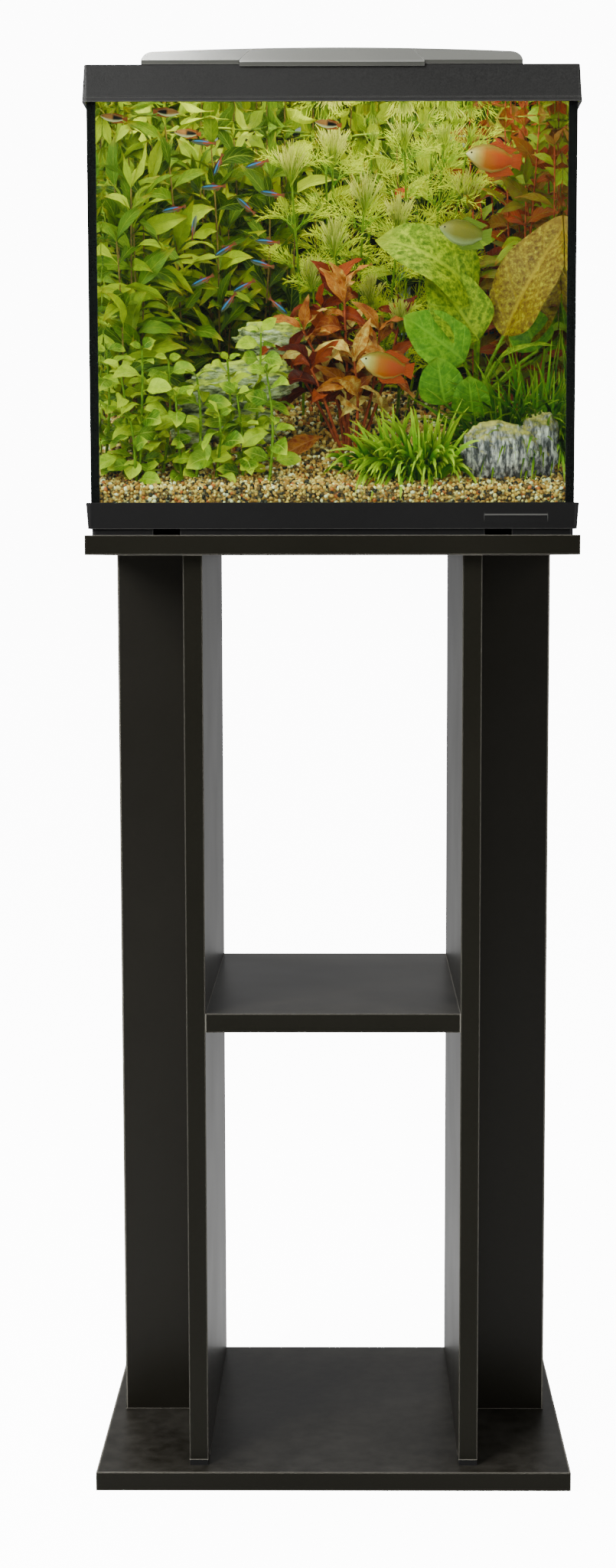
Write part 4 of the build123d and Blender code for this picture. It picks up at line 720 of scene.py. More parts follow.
def rounded_outline(outline, steps):
    """The same outline through more places, its corners rounded off by a smooth curve."""
    rows = []
    for number in range(len(outline) - 1):
        before = outline[max(number - 1, 0)]
        start, end = outline[number], outline[number + 1]
        after = outline[min(number + 2, len(outline) - 1)]
        for step in range(steps):
            share = step / steps
            point = []
            for axis in range(2):
                point.append(0.5 * (
                    2 * start[axis]
                    + (end[axis] - before[axis]) * share
                    + (2 * before[axis] - 5 * start[axis] + 4 * end[axis] - after[axis]) * share ** 2
                    + (3 * start[axis] - before[axis] - 3 * end[axis] + after[axis]) * share ** 3
                ))
            rows.append((point[0], max(point[1], 0.03)))
    rows.append(outline[-1])
    return tuple(rows)


BROAD = rounded_outline(BROAD, 3)
OVATE = rounded_outline(OVATE, 2)
BLADE = ((0.0, 0.7), (0.18, 0.9), (0.36, 1.0), (0.54, 0.95), (0.72, 0.8), (0.87, 0.5), (1.0, 0.06))


RIM_WAVES = 14  # the waves along a leaf's rim, as an angle


def leaf(shape, root, direction, length, width, outline, droop=0.6, fold=0.25, wave=0.0, twist=0.0, mark=0,
         across=2, up=UP, roll=0.0):
    """One leaf: a strip that bends down along its length, folded along its middle and waved at its rims."""
    _, face = frame_along(direction, up)
    heading = direction.normalized()
    if roll:
        face = Matrix.Rotation(roll, 3, heading) @ face
    fall = UP * 0.65 + face * 0.35  # it bends down, and back from its face
    point = Vector(root)
    rows = []
    last = 0.0
    phase = (root[0] + root[1] * 3) * 900  # so that no two leaves wave alike
    for share, swell in outline:
        step = (share - last) * length
        heading = (heading - fall * droop * (share - last)).normalized()
        last = share
        point = point + heading * step
        side_now, face_now = frame_along(heading, face)
        if twist:
            turn = Matrix.Rotation(twist * share, 3, heading)
            side_now = turn @ side_now
            face_now = turn @ face_now
        row = []
        for place in range(across + 1):
            offset = (place / across - 0.5) * 2
            lift = fold * abs(offset) * width / 2 * swell
            ripple = wave * width * abs(offset) * math.sin(share * RIM_WAVES + phase + offset * 1.5)
            spot = point + side_now * offset * width / 2 * swell + face_now * (lift + ripple)
            row.append((held(spot), (place / across, share)))
        rows.append(row)
    shape.grid(rows, mark)


STALK_SIDES = 5


def stalk(shape, points, thick, thin, mark=1):
    """A tapered stalk along a line of points."""
    rows = []
    for number, point in enumerate(points):
        ahead = points[min(number + 1, len(points) - 1)] - points[max(number - 1, 0)]
        side, face = frame_along(ahead)
        radius = thick + (thin - thick) * number / (len(points) - 1)
        rows.append([
            (held(point + (side * math.cos(angle) + face * math.sin(angle)) * radius), (share, number / len(points)))
            for angle, share in turns(STALK_SIDES)
        ])
    shape.grid(rows, mark, close=True)


def clumps(name):
    """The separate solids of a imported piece, as boxes from its lowest to its highest corner."""
    work = bmesh.new()
    work.from_mesh(nodes[name].data)
    bmesh.ops.remove_doubles(work, verts=work.verts, dist=1e-6)
    waiting = set(work.verts)
    boxes = []
    while waiting:
        group = [waiting.pop()]
        for corner in group:
            for edge in corner.link_edges:
                other = edge.other_vert(corner)
                if other in waiting:
                    waiting.remove(other)
                    group.append(other)
        low = Vector([min(corner.co[axis] for corner in group) for axis in range(3)])
        high = Vector([max(corner.co[axis] for corner in group) for axis in range(3)])
        boxes.append((low, high))
    work.free()
    return sorted(boxes, key=lambda box: (round(box[0].y, 4), round(box[0].x, 4)))


def ground(x, y):
    """Height of the gravel's surface."""
    hit, place, _, _ = nodes["gravel_bed"].ray_cast(Vector((x, y, 2.0)), Vector((0, 0, -1)))
    return place.z if hit else tank_floor


FOOT_DEPTH = 2 * MM


def rooted(x, y):
    """Where a stem stands, its foot just under the gravel."""
    return Vector((x, y, ground(x, y) - FOOT_DEPTH))


def foot_at(x, y):
    """The same from a place in millimetres."""
    return rooted(x * MM, y * MM)


STEM_STEPS = 8


def stem_line(draw, foot, top, sway):
    """A slightly wandering line from the gravel to the top of a stem."""
    turn = draw.uniform(0, 6.28)
    points = []
    for step in range(STEM_STEPS + 1):
        share = step / STEM_STEPS
        bend = math.sin(share * 3.1 + turn) * sway - math.sin(turn) * sway * (1 - share)
        drift = Vector((math.cos(turn), math.sin(turn), 0)) * bend
        points.append(foot.lerp(top, share) + drift)
    return points


def along(points, share):
    """The point at a share of a line's length."""
    place = share * (len(points) - 1)
    low = min(int(place), len(points) - 2)
    return points[low].lerp(points[low + 1], place - low)


def plant_stem(shape, draw, foot, top, spacing, size, outline, lift=(-0.1, 1.0), droop=0.9, wave=0.05, thick=1.0,
               fold=0.25, cover=0.15, sway=4.0, taper=0.55, roll=0.5, flat=0.6, across=2, crown=0.9, mark=0,
               facing=(0.3, 1.1)):
    """A stem with leaves in pairs, smaller and steeper at its tip, where two more close it.

    Spacing, thickness and sway are in millimetres; size is a leaf's shortest and longest length, then its narrowest
    and widest width as shares of the length; lift and facing are ranges for a leaf's rise and the way its face looks.
    """
    line = stem_line(draw, foot, top, sway * MM)
    stalk(shape, line, thick * MM, thick * 0.6 * MM)
    count = max(2, int((top - foot).length * (1 - cover) / (spacing * MM)))
    turn = draw.uniform(0, 2 * math.pi)
    for number in range(count + 1):
        share = cover + (1 - cover) * number / count
        turn += math.pi / 2 + draw.uniform(-0.3, 0.3)
        root = along(line, share)
        near_tip = max(0.0, share - 0.8) / 0.2
        for leg in range(4 if number == count else 2):
            heading = turn + math.pi * leg + draw.uniform(-0.25, 0.25)
            if leg >= 2:
                heading += math.pi / 2
            rise = draw.uniform(*lift) + crown * near_tip
            direction = Vector((math.cos(heading), math.sin(heading) * flat, rise))
            length = draw.uniform(*size[:2]) * MM * (1.0 - (1 - taper) * near_tip)
            width = length * draw.uniform(*size[2:])
            look = Vector((draw.uniform(-0.5, 0.5), -0.8, draw.uniform(*facing)))
            leaf(shape, root, direction, length, width, outline, droop=droop * draw.uniform(0.4, 1.5),
                 fold=fold * draw.uniform(0.3, 1.5), wave=wave, twist=draw.uniform(-0.6, 0.6), mark=mark,
                 up=look, roll=draw.uniform(-roll, roll), across=across)


def leafy_stems(name, node, slot, materials, seed, stems, spacing, size, outline, spreading=1.0, tall=(0.72, 1.0),
                added=(), low_leaves=(), **choice):
    """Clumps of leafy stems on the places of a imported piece's solids, and single stems and leaves added to them."""
    draw = random.Random(seed)
    shape = Shape(name)
    for low, high in clumps(node):
        middle = (low + high) / 2
        for _ in range(stems):
            angle = draw.uniform(0, 2 * math.pi)
            reach = math.sqrt(draw.random()) * spreading
            x = middle.x + (high.x - low.x) / 2 * reach * math.cos(angle)
            y = middle.y + (high.y - low.y) / 2 * reach * math.sin(angle)
            foot = rooted(middle.x + (x - middle.x) * 0.5, middle.y + (y - middle.y) * 0.5)
            top = held(Vector((x, y, foot.z + (high.z - foot.z) * draw.uniform(*tall))))
            plant_stem(shape, draw, foot, top, spacing, size, outline, **choice)
    for (foot_x, foot_y), top in added:
        plant_stem(shape, draw, foot_at(foot_x, foot_y), held(mm(*top)), spacing, size, outline, **choice)
    for root, tip, width in low_leaves:
        way = (Vector(tip) - Vector(root)) * MM
        leaf(shape, mm(*root), way, way.length, width * MM, outline, droop=0.3, across=4,
             up=Vector((draw.uniform(-0.3, 0.3), -0.8, 0.9)))
    shape.make(materials, (node,))


# single stems, in millimetres from the middle of the tank: foot across and deep, then top across, deep and high
TALL_STEMS = (
    ((-60, 80), (-58, 60, 1140)), ((-40, 100), (-44, 90, 1142)), ((-84, 90), (-88, 70, 1142)),
    ((-110, 104), (-118, 100, 1142)), ((-150, 100), (-158, 100, 1142)), ((-176, 60), (-184, 30, 1140)),
    ((-100, 50), (-104, 10, 1142)), ((-64, 104), (-66, 112, 1142)), ((-20, 110), (-20, 116, 1142)),
    ((-130, 30), (-140, -20, 1140)), ((-66, 60), (-56, 50, 1104)), ((-50, 60), (-34, 50, 1070)),
    ((-96, 50), (-90, 44, 1062)), ((10, 112), (14, 118, 1142)), ((50, 112), (54, 118, 1142)),
)
ROUND_STEMS = (
    ((-188, -88), (-187, -92, 950)), ((-158, -104), (-157, -100, 950)), ((-140, -94), (-136, -90, 942)),
    ((-112, -106), (-112, -102, 928)), ((-88, -88), (-85, -86, 942)), ((-66, -74), (-61, -70, 966)),
    ((-52, -106), (-54, -100, 930)), ((-172, -96), (-173, -100, 934)), ((-124, -98), (-128, -106, 912)),
    ((-74, -98), (-76, -104, 914)), ((-196, -76), (-197, -80, 938)),
    ((-146, -84), (-149, -84, 926)), ((-160, -112), (-166, -114, 892)),
    ((-96, -104), (-94, -112, 896)),
)
# single round leaves low on the gravel: root, tip and width
LOW_ROUND_LEAVES = (
    ((-172, -108, 866), (-197, -114, 856), 15), ((-160, -110, 864), (-166, -119, 846), 15),
    ((-58, -108, 862), (-76, -116, 855), 17), ((-124, -108, 896), (-146, -112, 888), 17),
    ((-108, -110, 880), (-104, -116, 858), 15), ((-112, -106, 880), (-132, -114, 876), 13),
    ((-84, -100, 898), (-104, -108, 902), 15), ((-150, -108, 886), (-170, -112, 884), 14),
)
RED_STEMS = (
    ((142, 30), (147, 10, 1141)), ((150, 16), (158, -2, 1141)), ((156, 24), (172, -4, 1141)),
    ((170, 40), (188, 20, 1141)), ((176, 20), (192, -12, 1096)), ((162, 50), (178, 50, 1141)),
    ((136, 60), (134, 60, 1141)), ((180, 70), (192, 80, 1141)), ((150, 80), (152, 90, 1141)),
    ((168, 4), (184, -30, 1122)), ((120, 100), (116, 114, 1141)), ((178, 104), (186, 116, 1141)),
    ((160, 104), (154, 118, 1141)),
)

leafy_stems("stem_plant_leaves", "left_stem_plants", "green_leaf", (green_leaf, brown_stalk), 11, stems=7, spacing=17,
            size=(34, 58, 0.19, 0.3), outline=LANCE, spreading=1.35, tall=(0.6, 1.03), added=TALL_STEMS,
            lift=(0.0, 1.7), droop=1.6, crown=1.2, taper=0.8, wave=0.08, across=4, roll=1.2, fold=0.4)
leafy_stems("round_leaf_leaves", "round_leaf_plants", "bright_leaf", (bright_leaf, green_stalk), 23, stems=0,
            spacing=11, size=(20, 31, 0.44, 0.56), outline=OVATE, droop=1.3, lift=(0.1, 0.8), cover=0.05, thick=1.4,
            roll=0.7, added=ROUND_STEMS, across=4, flat=0.9, crown=0.6, taper=0.6,
            facing=(0.5, 2.0), low_leaves=LOW_ROUND_LEAVES)
leafy_stems("right_stem_leaves", "right_red_plants", "mottled_leaf", (mixed_leaf, red_stalk), 41, stems=3, spacing=16,
            size=(24, 40, 0.3, 0.42), outline=LANCE, spreading=1.5, lift=(0.1, 1.2), added=RED_STEMS, across=4,
            crown=1.1, roll=0.7, sway=7.0, droop=1.3)

# rows of leaves at the back: how far below the surface they spring, and their lengths
BACK_ROWS = ((58, (30, 44)), (34, (24, 36)), (18, (18, 26)))
BACK_STEP = 5.5 * MM


def leaves_along_the_back():
    """The tops of the plants at the back, which close the view under the water's surface."""
    draw = random.Random(71)
    shape = Shape("leaves_along_the_back")
    for column in range(int(2 * inner_right / BACK_STEP)):
        for low, reach in BACK_ROWS:
            x = -inner_right + (column + draw.random()) * BACK_STEP
            root = Vector((x, inner_back - draw.uniform(5, 12) * MM, water_top - low * MM))
            direction = Vector((draw.uniform(-0.7, 0.7), -0.1, 1.0))
            length = draw.uniform(*reach) * MM
            leaf(shape, root, direction, length, length * draw.uniform(0.34, 0.5), LANCE, droop=draw.uniform(0.1, 0.6),
                 up=Vector((draw.uniform(-0.4, 0.4), -0.9, 0.2)))
    shape.make((green_leaf,))


leaves_along_the_back()

# copper plant: foot, then top, the share of the stem left bare, and its finish (2 is the deep red)
COPPER_STEMS = (
    ((13, -34), (11, -40, 1002), 0.3, 0),
    ((16, -30), (-24, -44, 970), 0.42, 0),
    ((10, -28), (-12, -30, 988), 0.4, 2),
    ((20, -30), (38, -38, 970), 0.42, 0),
    ((24, -26), (54, -26, 980), 0.5, 2),
    ((8, -40), (-20, -54, 938), 0.6, 2),
    ((18, -40), (16, -56, 944), 0.55, 0),
    ((4, -24), (-34, -20, 950), 0.6, 2),
    ((12, -30), (4, -24, 1008), 0.3, 2),
)


def copper_plant():
    """The red plant in the middle, and one leaf of it low over the gravel."""
    draw = random.Random(37)
    shape = Shape("copper_plant_leaves")
    for foot, top, bare, mark in COPPER_STEMS:
        plant_stem(shape, draw, foot_at(*foot), mm(*top), 11, (28, 44, 0.26, 0.38), LANCE, wave=0.12, droop=2.0,
                   lift=(0.2, 1.6), thick=1.6, cover=bare, roll=0.9, fold=0.5, across=4, taper=0.9, mark=mark,
                   flat=0.8, facing=(0.1, 1.4))
    low_leaf = foot_at(-8, -44) + mm(0, 0, 16)
    leaf(shape, low_leaf, Vector((-1.0, -0.3, -0.35)), 46 * MM, 19 * MM, LANCE, droop=0.3, across=4,
         up=Vector((0, -0.8, 0.6)))
    shape.make((red_leaf, red_stalk, deep_red_leaf), ("red_plant",))


copper_plant()

# feathery stems: foot, then top, the reach of a frond, and the share of the stem left bare
FEATHERY_STEMS = (
    ((-26, 40), (-33, -12, 1106), 30, 0.45),
    ((-6, 56), (2, 0, 1122), 30, 0.4),
    ((12, 50), (29, -28, 1080), 30, 0.4),
    ((4, 34), (2, -30, 1046), 27, 0.3),
    ((36, 40), (52, -14, 1064), 30, 0.3),
    ((56, 60), (62, 10, 1138), 33, 0.2),
    ((64, 60), (93, 20, 1140), 32, 0.3),
    ((70, 66), (119, 30, 1146), 30, 0.3),
    ((54, 30), (59, -30, 985), 20, 0.2),
    ((86, 70), (112, 40, 1092), 28, 0.3),
    ((-14, 84), (-6, 60, 1146), 32, 0.5),
    ((20, 90), (36, 60, 1146), 32, 0.5),
    ((60, 92), (84, 74, 1146), 32, 0.4),
    ((-10, 30), (-21, -14, 1020), 22, 0.5),
    ((30, 30), (34, -4, 1006), 22, 0.2),
    ((90, 40), (96, 14, 1046), 26, 0.2),
)

HAIR_BELOW_SURFACE = 1.5 * MM
WHORL_GAP = 30 * MM
FRONDS_PER_WHORL = 5
FROND_BRANCHES = 4
FROND_OPENING = 0.25  # the share of a frond's rib before its first branches
CROWN_HAIRS = 70
FROND, CROWN, STEM = 0, 1, 2  # the finishes of the feathery plants
RIB, BRANCH, FINE, CROWN_FINE = 0.42 * MM, 0.34 * MM, 0.28 * MM, 0.36 * MM  # half widths
FADE = 0.15  # how far a hair's colour runs on along its frond


def hair(shape, start, direction, length, width, mark, low, high):
    """A straight narrow strip; returns its end. Low and high say where it lies between stem and leaf tip."""
    side, _ = frame_along(direction, Vector((0.3, -0.8, 0.5)))
    end = start + direction.normalized() * length
    if end.z <= water_top - HAIR_BELOW_SURFACE:
        rows = [
            [(held(start - side * width), (0.3, low)), (held(start + side * width), (0.7, low))],
            [(held(end - side * width * 0.5), (0.3, high)), (held(end + side * width * 0.5), (0.7, high))],
        ]
        shape.grid(rows, mark)
    return end


def frond(shape, draw, spot, out, look, length, droop):
    """A flat frond: a rib with forked branches to both sides."""
    heading = out.normalized()
    steps = FROND_BRANCHES + 1
    for step in range(steps):
        heading = (heading - Vector((0, 0, droop / steps))).normalized()
        _, face = frame_along(heading, look)
        side = heading.cross(face).normalized()
        part = FROND_OPENING if step == 0 else (1 - FROND_OPENING) / FROND_BRANCHES
        share = FROND_OPENING + (1 - FROND_OPENING) * step / FROND_BRANCHES
        spot = hair(shape, spot, heading, length * part, RIB, FROND, max(0.0, share - FADE), share)
        reach = length * (0.56 - 0.3 * step / FROND_BRANCHES)
        outer = min(1.0, share + FADE)
        for way in (-1, 1):
            lean = (heading + side * way * draw.uniform(0.38, 0.62) + face * draw.uniform(-0.2, 0.2)).normalized()
            fork = hair(shape, spot, lean, reach * 0.45, BRANCH, FROND, share, outer)
            for fork_way in (-0.22, 0.24):
                fine = (lean + side * fork_way + face * draw.uniform(-0.2, 0.2)).normalized()
                hair(shape, fork, fine, reach * 0.55, FINE, FROND, outer, 1.0)


def whorls(shape, draw, line, tall, reach, bare):
    """Rings of fronds up a stem, the upper ones rising more steeply."""
    count = max(2, int(tall * (1 - bare) / WHORL_GAP))
    start = draw.uniform(0.0, 0.8)
    for level in range(count):
        share = bare + (1 - bare) * min(0.98, (level + start) / count)
        below = tall * (1 - share) / (2 * WHORL_GAP)
        root = along(line, share)
        for leg in range(FRONDS_PER_WHORL):
            heading = 2 * math.pi * (leg + 0.5 * (level % 2)) / FRONDS_PER_WHORL + draw.uniform(-0.2, 0.2)
            rise = draw.uniform(0.7, 1.3) + 0.8 * max(0.0, 1 - below)
            out = Vector((math.cos(heading), math.sin(heading) * 0.7, rise))
            look = Vector((draw.uniform(-0.4, 0.4), -0.9, 0.4))
            spot = root + Vector((0, 0, draw.uniform(-3, 3) * MM))
            frond(shape, draw, spot, out, look, reach * MM * draw.uniform(0.9, 1.25), draw.uniform(0.4, 1.2))


def brush(shape, draw, crown, reach):
    """The pale brush of young fronds at the top of a stem."""
    for _ in range(CROWN_HAIRS):
        heading = draw.uniform(0, 2 * math.pi)
        lean = draw.uniform(0.0, 0.85)
        out = Vector((math.cos(heading) * lean, math.sin(heading) * lean, 1.0)).normalized()
        root = crown - Vector((0, 0, draw.uniform(4, 16) * MM))
        reached = hair(shape, root, out, draw.uniform(0.42, 0.62) * reach * MM, RIB, CROWN, 0.0, 0.5)
        for _ in range(2):
            fine = (out + Vector((draw.uniform(-0.25, 0.25), draw.uniform(-0.25, 0.25), 0.1))).normalized()
            hair(shape, reached, fine, draw.uniform(0.25, 0.42) * reach * MM, CROWN_FINE, CROWN, 0.5, 1.0)


def feathery_plants():
    """Stems ringed by fronds that fork into fine hairs, each with a brush of young ones at its top."""
    draw = random.Random(53)
    shape = Shape("feathery_whorls")
    for foot, top, reach, bare in FEATHERY_STEMS:
        foot, top = foot_at(*foot), mm(*top)
        line = stem_line(draw, foot, top, 5 * MM)
        stalk(shape, line, 1.3 * MM, 0.9 * MM, mark=STEM)
        whorls(shape, draw, line, (top - foot).length, reach, bare)
        brush(shape, draw, along(line, 1.0), reach)
    shape.make((pale_leaf, crown_leaf, green_stalk), ("feathery_plants",))


feathery_plants()


def grass_tufts(name, node, seed, tufts, width, droop, lean, material):
    """Tufts of blades, with ranges for their width and droop, and how far the outer ones lean."""
    draw = random.Random(seed)
    shape = Shape(name)
    for (middle_x, middle_y), (wide, deep), blades, (short, long) in tufts:
        for _ in range(blades):
            angle = draw.uniform(0, 2 * math.pi)
            reach = math.sqrt(draw.random())
            root = foot_at(middle_x + wide * reach * math.cos(angle), middle_y + deep * reach * math.sin(angle))
            out = draw.uniform(0.05, lean) * (0.3 + reach)
            direction = Vector((math.cos(angle) * out, math.sin(angle) * out * 0.7, 1.0))
            leaf(shape, root, direction, draw.uniform(short, long) * MM, draw.uniform(*width) * MM, BLADE,
                 droop=draw.uniform(*droop), fold=0.3, twist=draw.uniform(-1.4, 1.4), up=Vector((0.2, 1, 0.3)))
    shape.make((material,), (node,))


# tufts of grass: middle across and deep, spread, number of blades and their lengths
FRONT_TUFTS = (
    ((70, -100), (20, 11), 170, (30, 70)),
    ((44, -94), (15, 12), 80, (26, 64)),
    ((20, -84), (12, 10), 22, (20, 46)),
)
RIGHT_TUFTS = (
    ((140, -62), (16, 12), 100, (44, 92)),
    ((168, -50), (20, 18), 140, (56, 108)),
    ((188, -56), (8, 12), 60, (50, 100)),
    ((120, -66), (12, 10), 40, (34, 66)),
)
grass_tufts("front_grass_blades", "front_grass", 61, FRONT_TUFTS, (2.4, 4.4), (0.8, 4.2), 0.55, grass_leaf)
grass_tufts("right_grass_blades", "right_grass", 67, RIGHT_TUFTS, (2.0, 3.4), (0.6, 3.8), 0.8, shaded_grass_leaf)

# sword plant, each leaf: its blade's base and tip, the way its face looks, width, droop, and its finish
SWORD_FOOT = (120, -26)
SWORD_LEAVES = (
    ((119, -34, 996), (40, -54, 1050), (0.35, -0.85, 0.45), 56, 1.5, 0),
    ((122, -42, 962), (79, -50, 1018), (0.3, -0.9, 0.25), 54, 0.35, 0),
    ((110, -54, 944), (60, -62, 980), (0.1, -0.95, 0.25), 46, 0.3, 3),
    ((143, -36, 966), (197, -48, 1062), (-0.45, -0.75, 0.35), 60, 0.5, 1),
    ((149, -12, 958), (198, -16, 1034), (-0.5, -0.8, 0.2), 54, 0.3, 1),
    ((172, -26, 955), (155, -34, 990), (0.0, -1.0, 0.2), 38, 0.1, 3),
    ((136, -52, 944), (184, -54, 958), (0.1, -0.3, 0.95), 16, 0.8, 0),
    ((93, -62, 908), (86, -70, 946), (-0.1, -1.0, 0.2), 38, 0.1, 3),
    ((116, -66, 896), (112, -76, 930), (0.1, -0.95, 0.35), 35, 0.2, 3),
    ((182, 4, 956), (190, 0, 1004), (0.0, -1.0, 0.2), 26, 0.1, 3),
)


def sword_plant():
    """Large blades on arching stalks from one foot."""
    shape = Shape("sword_plant_leaves")
    foot = foot_at(*SWORD_FOOT)
    for base, tip, look, width, droop, kind in SWORD_LEAVES:
        base, tip, look = mm(*base), mm(*tip), Vector(look)
        out = Vector((base.x - foot.x, base.y - foot.y, 0))
        bow = foot + out * 0.25 + Vector((0, 0, (base.z - foot.z) * 0.6))
        line = [foot, foot.lerp(bow, 0.5), bow, bow.lerp(base, 0.5) + mm(0, 0, 1.5), base]
        stalk(shape, line, 1.9 * MM, 1.4 * MM, mark=2)
        chord = tip - base
        heading = chord.normalized()
        face = (look - heading * look.dot(heading)).normalized()
        start = (heading + face * 0.5 * droop).normalized()
        sword_blade(shape, base, start, face, chord.length * (1 + 0.06 * droop), width * MM, droop, kind)
    shape.make((sword_leaf, bronze_leaf, green_stalk, plain_sword_leaf), ("sword_plant",))


BLADE_STRIPS = 8
BLADE_DISH = 0.16  # how deep the blade is dished, and its rims waved, as shares of its width
BLADE_RIPPLE = 0.03


def sword_blade(shape, base, heading, face, length, width, droop, mark):
    """A broad blade that arches over, dished between its midrib and its gently waved rims."""
    rows = []
    point = Vector(base)
    last = 0.0
    for share, swell in BROAD:
        heading = (heading - face * droop * (share - last)).normalized()
        point = point + heading * (share - last) * length
        last = share
        side = heading.cross(face).normalized()
        face = side.cross(heading).normalized()
        row = []
        for place in range(BLADE_STRIPS + 1):
            offset = 2 * place / BLADE_STRIPS - 1
            dish = BLADE_DISH * width * (abs(offset) - 0.35 * offset * offset) * swell
            ripple = BLADE_RIPPLE * width * abs(offset) ** 3 * math.sin(share * 13 + offset + base.x * 500)
            spot = point + side * offset * width / 2 * swell + face * (dish + ripple)
            row.append((held(spot), (place / BLADE_STRIPS, share)))
        rows.append(row)
    shape.grid(rows, mark)


sword_plant()

FOAM_ROUND = 3 * MM
FOAM_PIT = 1.2 * MM
FOAM_CUTS = 21


def filter_foam():
    """The block of foam in the filter: soft rounded edges and an open, pitted face."""
    low, high = [Vector(corner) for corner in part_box("filter_sponge")]
    middle = (low + high) / 2
    half = (high - low) / 2
    work = bmesh.new()
    bmesh.ops.create_cube(work, size=2.0)
    bmesh.ops.subdivide_edges(work, edges=work.edges[:], cuts=FOAM_CUTS, use_grid_fill=True)
    for corner in work.verts:
        spot = corner.co * half
        edge = Vector([max(0.0, abs(spot[axis]) - half[axis] + FOAM_ROUND) for axis in range(3)])
        if edge.length > FOAM_ROUND:
            over = 1 - FOAM_ROUND / edge.length
            spot -= Vector([math.copysign(edge[axis] * over, spot[axis]) for axis in range(3)])
        pit = max(0.0, noise.noise(spot * 420)) * FOAM_PIT
        corner.co = middle + spot - corner.co.normalized() * pit
    mesh = bpy.data.meshes.new("filter_foam")
    work.to_mesh(mesh)
    work.free()
    mesh.materials.append(foam_finish())
    piece = linked("filter_foam", mesh)
    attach(piece, "root")
    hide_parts("filter_sponge")


filter_foam()

STRIP_STEPS = 48
STRIP_HALF_WIDTH = 12 * MM
STRIP_HALF_LENGTH = 165 * MM
SQUARED = 0.4


def signed_power(value, power):
    """Squares off a round outline: a power that keeps the sign."""
    return math.copysign(abs(value) ** power, value)


def shade_underlay_strips():
    """Two strips of black foam on the top board, which carry the tank inside its trim and stand in for the shade seen
    through the trim's notches.
    """
    low_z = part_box("top_board")[1][2]
    high_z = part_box("bottom_trim")[0][2] + 5.5 * MM
    for name, y in (("front_shade_underlay_strip", -62 * MM), ("back_shade_underlay_strip", 62 * MM)):
        shape = Shape(name)
        rows = []
        for step in range(STRIP_STEPS + 1):
            x = STRIP_HALF_LENGTH * (2 * step / STRIP_STEPS - 1)
            row = []
            for angle, share in turns(12):
                wide = signed_power(math.cos(angle), SQUARED) * STRIP_HALF_WIDTH
                tall = signed_power(math.sin(angle), SQUARED) * (high_z - low_z) / 2
                sink = noise.noise(Vector((x * 40, angle, y))) * 0.2 * MM
                row.append((Vector((x, y + wide + sink, (low_z + high_z) / 2 + tall)), (share, step / STRIP_STEPS)))
            rows.append(row)
        shape.grid(rows, close=True)
        shape.cap(rows[0][::-1])
        shape.cap(rows[-1])
        welded(shape.make((black_rubber,)))


shade_underlay_strips()

# ---- stones
ROCK_RINGS = 96
ROCK_SIDES = 128
# how fine each unevenness is: the broad shape, the bends of the layers, and the grain
LUMPS, BENDS, GRAIN = 1.7, 34, 170
LUMP_DEPTH, BEND_DEPTH, GRAIN_DEPTH = 0.2, 0.7, 0.03
FINE_LAYERS = 3.3  # thin layers to each thick one


def uneven_at(spot, octaves):
    return noise.fractal(spot, 1.0, 2.0, octaves)


def rock(shape, middle, half, layers, seed, rough, tilt, boxiness, ledge):
    """One weathered rock: a squared-off ball pushed in and out by broad and fine unevenness, its layers in ledges."""
    draw = random.Random(seed)
    shift = Vector([draw.uniform(0, 9) for _ in range(3)])
    turn = Euler(tilt).to_matrix()
    rows = []
    for ring in range(ROCK_RINGS + 1):
        lean = math.pi * ring / ROCK_RINGS
        row = []
        for angle, share in turns(ROCK_SIDES):
            ball = Vector((math.sin(lean) * math.cos(angle), math.sin(lean) * math.sin(angle), -math.cos(lean)))
            spot = Vector([signed_power(part, boxiness) for part in ball]) * half * 0.9
            big = uneven_at(ball * LUMPS + shift, 3)
            small = uneven_at(spot * GRAIN + shift, 4)
            depth = spot.dot(layers) + uneven_at(spot * BENDS + shift, 3) * BEND_DEPTH
            step = depth - math.floor(depth)
            fine = depth * FINE_LAYERS - math.floor(depth * FINE_LAYERS)
            worn = ledge * within(0.9 - 0.9 * ball.z, 0.15, 1.0)  # the layers are worn smooth on top
            push = 1 + big * LUMP_DEPTH * rough + (step ** 1.5 - 0.4) * worn + (fine - 0.5) * worn * 0.35
            push += small * GRAIN_DEPTH
            row.append((middle + turn @ (spot * push), (share, ring / ROCK_RINGS)))
        rows.append(row)
    shape.grid(rows, close=True)


# rocks: middle, half size, seed, unevenness, tilt, how squared off (1 is round), how deep the ledges are
MOSSY_ROCKS = (
    ((-80, -34, 924), (56, 20, 25), 83, 1.0, (0.25, -0.2, 0.1), 1.0, 0.14),
    ((-48, -8, 962), (38, 18, 20), 84, 1.0, (0.3, 0.12, -0.1), 1.0, 0.14),
    ((-88, -22, 894), (50, 24, 20), 85, 1.0, (0.1, 0.1, 0.0), 1.0, 0.12),
    ((-120, -42, 886), (17, 13, 12), 86, 1.0, (0.2, 0.3, 0.4), 0.72, 0.1),
)
SLATE_ROCKS = (
    ((137, -102, 865), (36, 17, 31), 89, 0.5, (0.35, 0.2, 0.1), 1.0, 0.14),
    ((167, -90, 870), (22, 14, 33), 90, 0.6, (0.1, 0.2, -0.2), 0.95, 0.14),
)
FLAT_LAYERS = Vector((6.0, 10.0, 110.0))
STEEP_LAYERS = Vector((130.0, 20.0, 50.0))


def rocks(name, places, layers, material, node):
    """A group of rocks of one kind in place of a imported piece."""
    shape = Shape(name)
    for middle, half, *look in places:
        rock(shape, mm(*middle), mm(*half), layers, *look)
    welded(shape.make((material,), (node,)))


rocks("mossy_rocks", MOSSY_ROCKS, FLAT_LAYERS, mossy_rock, "moss_stones")
rocks("slate_rocks", SLATE_ROCKS, STEEP_LAYERS, slate_rock, "slate_stones")

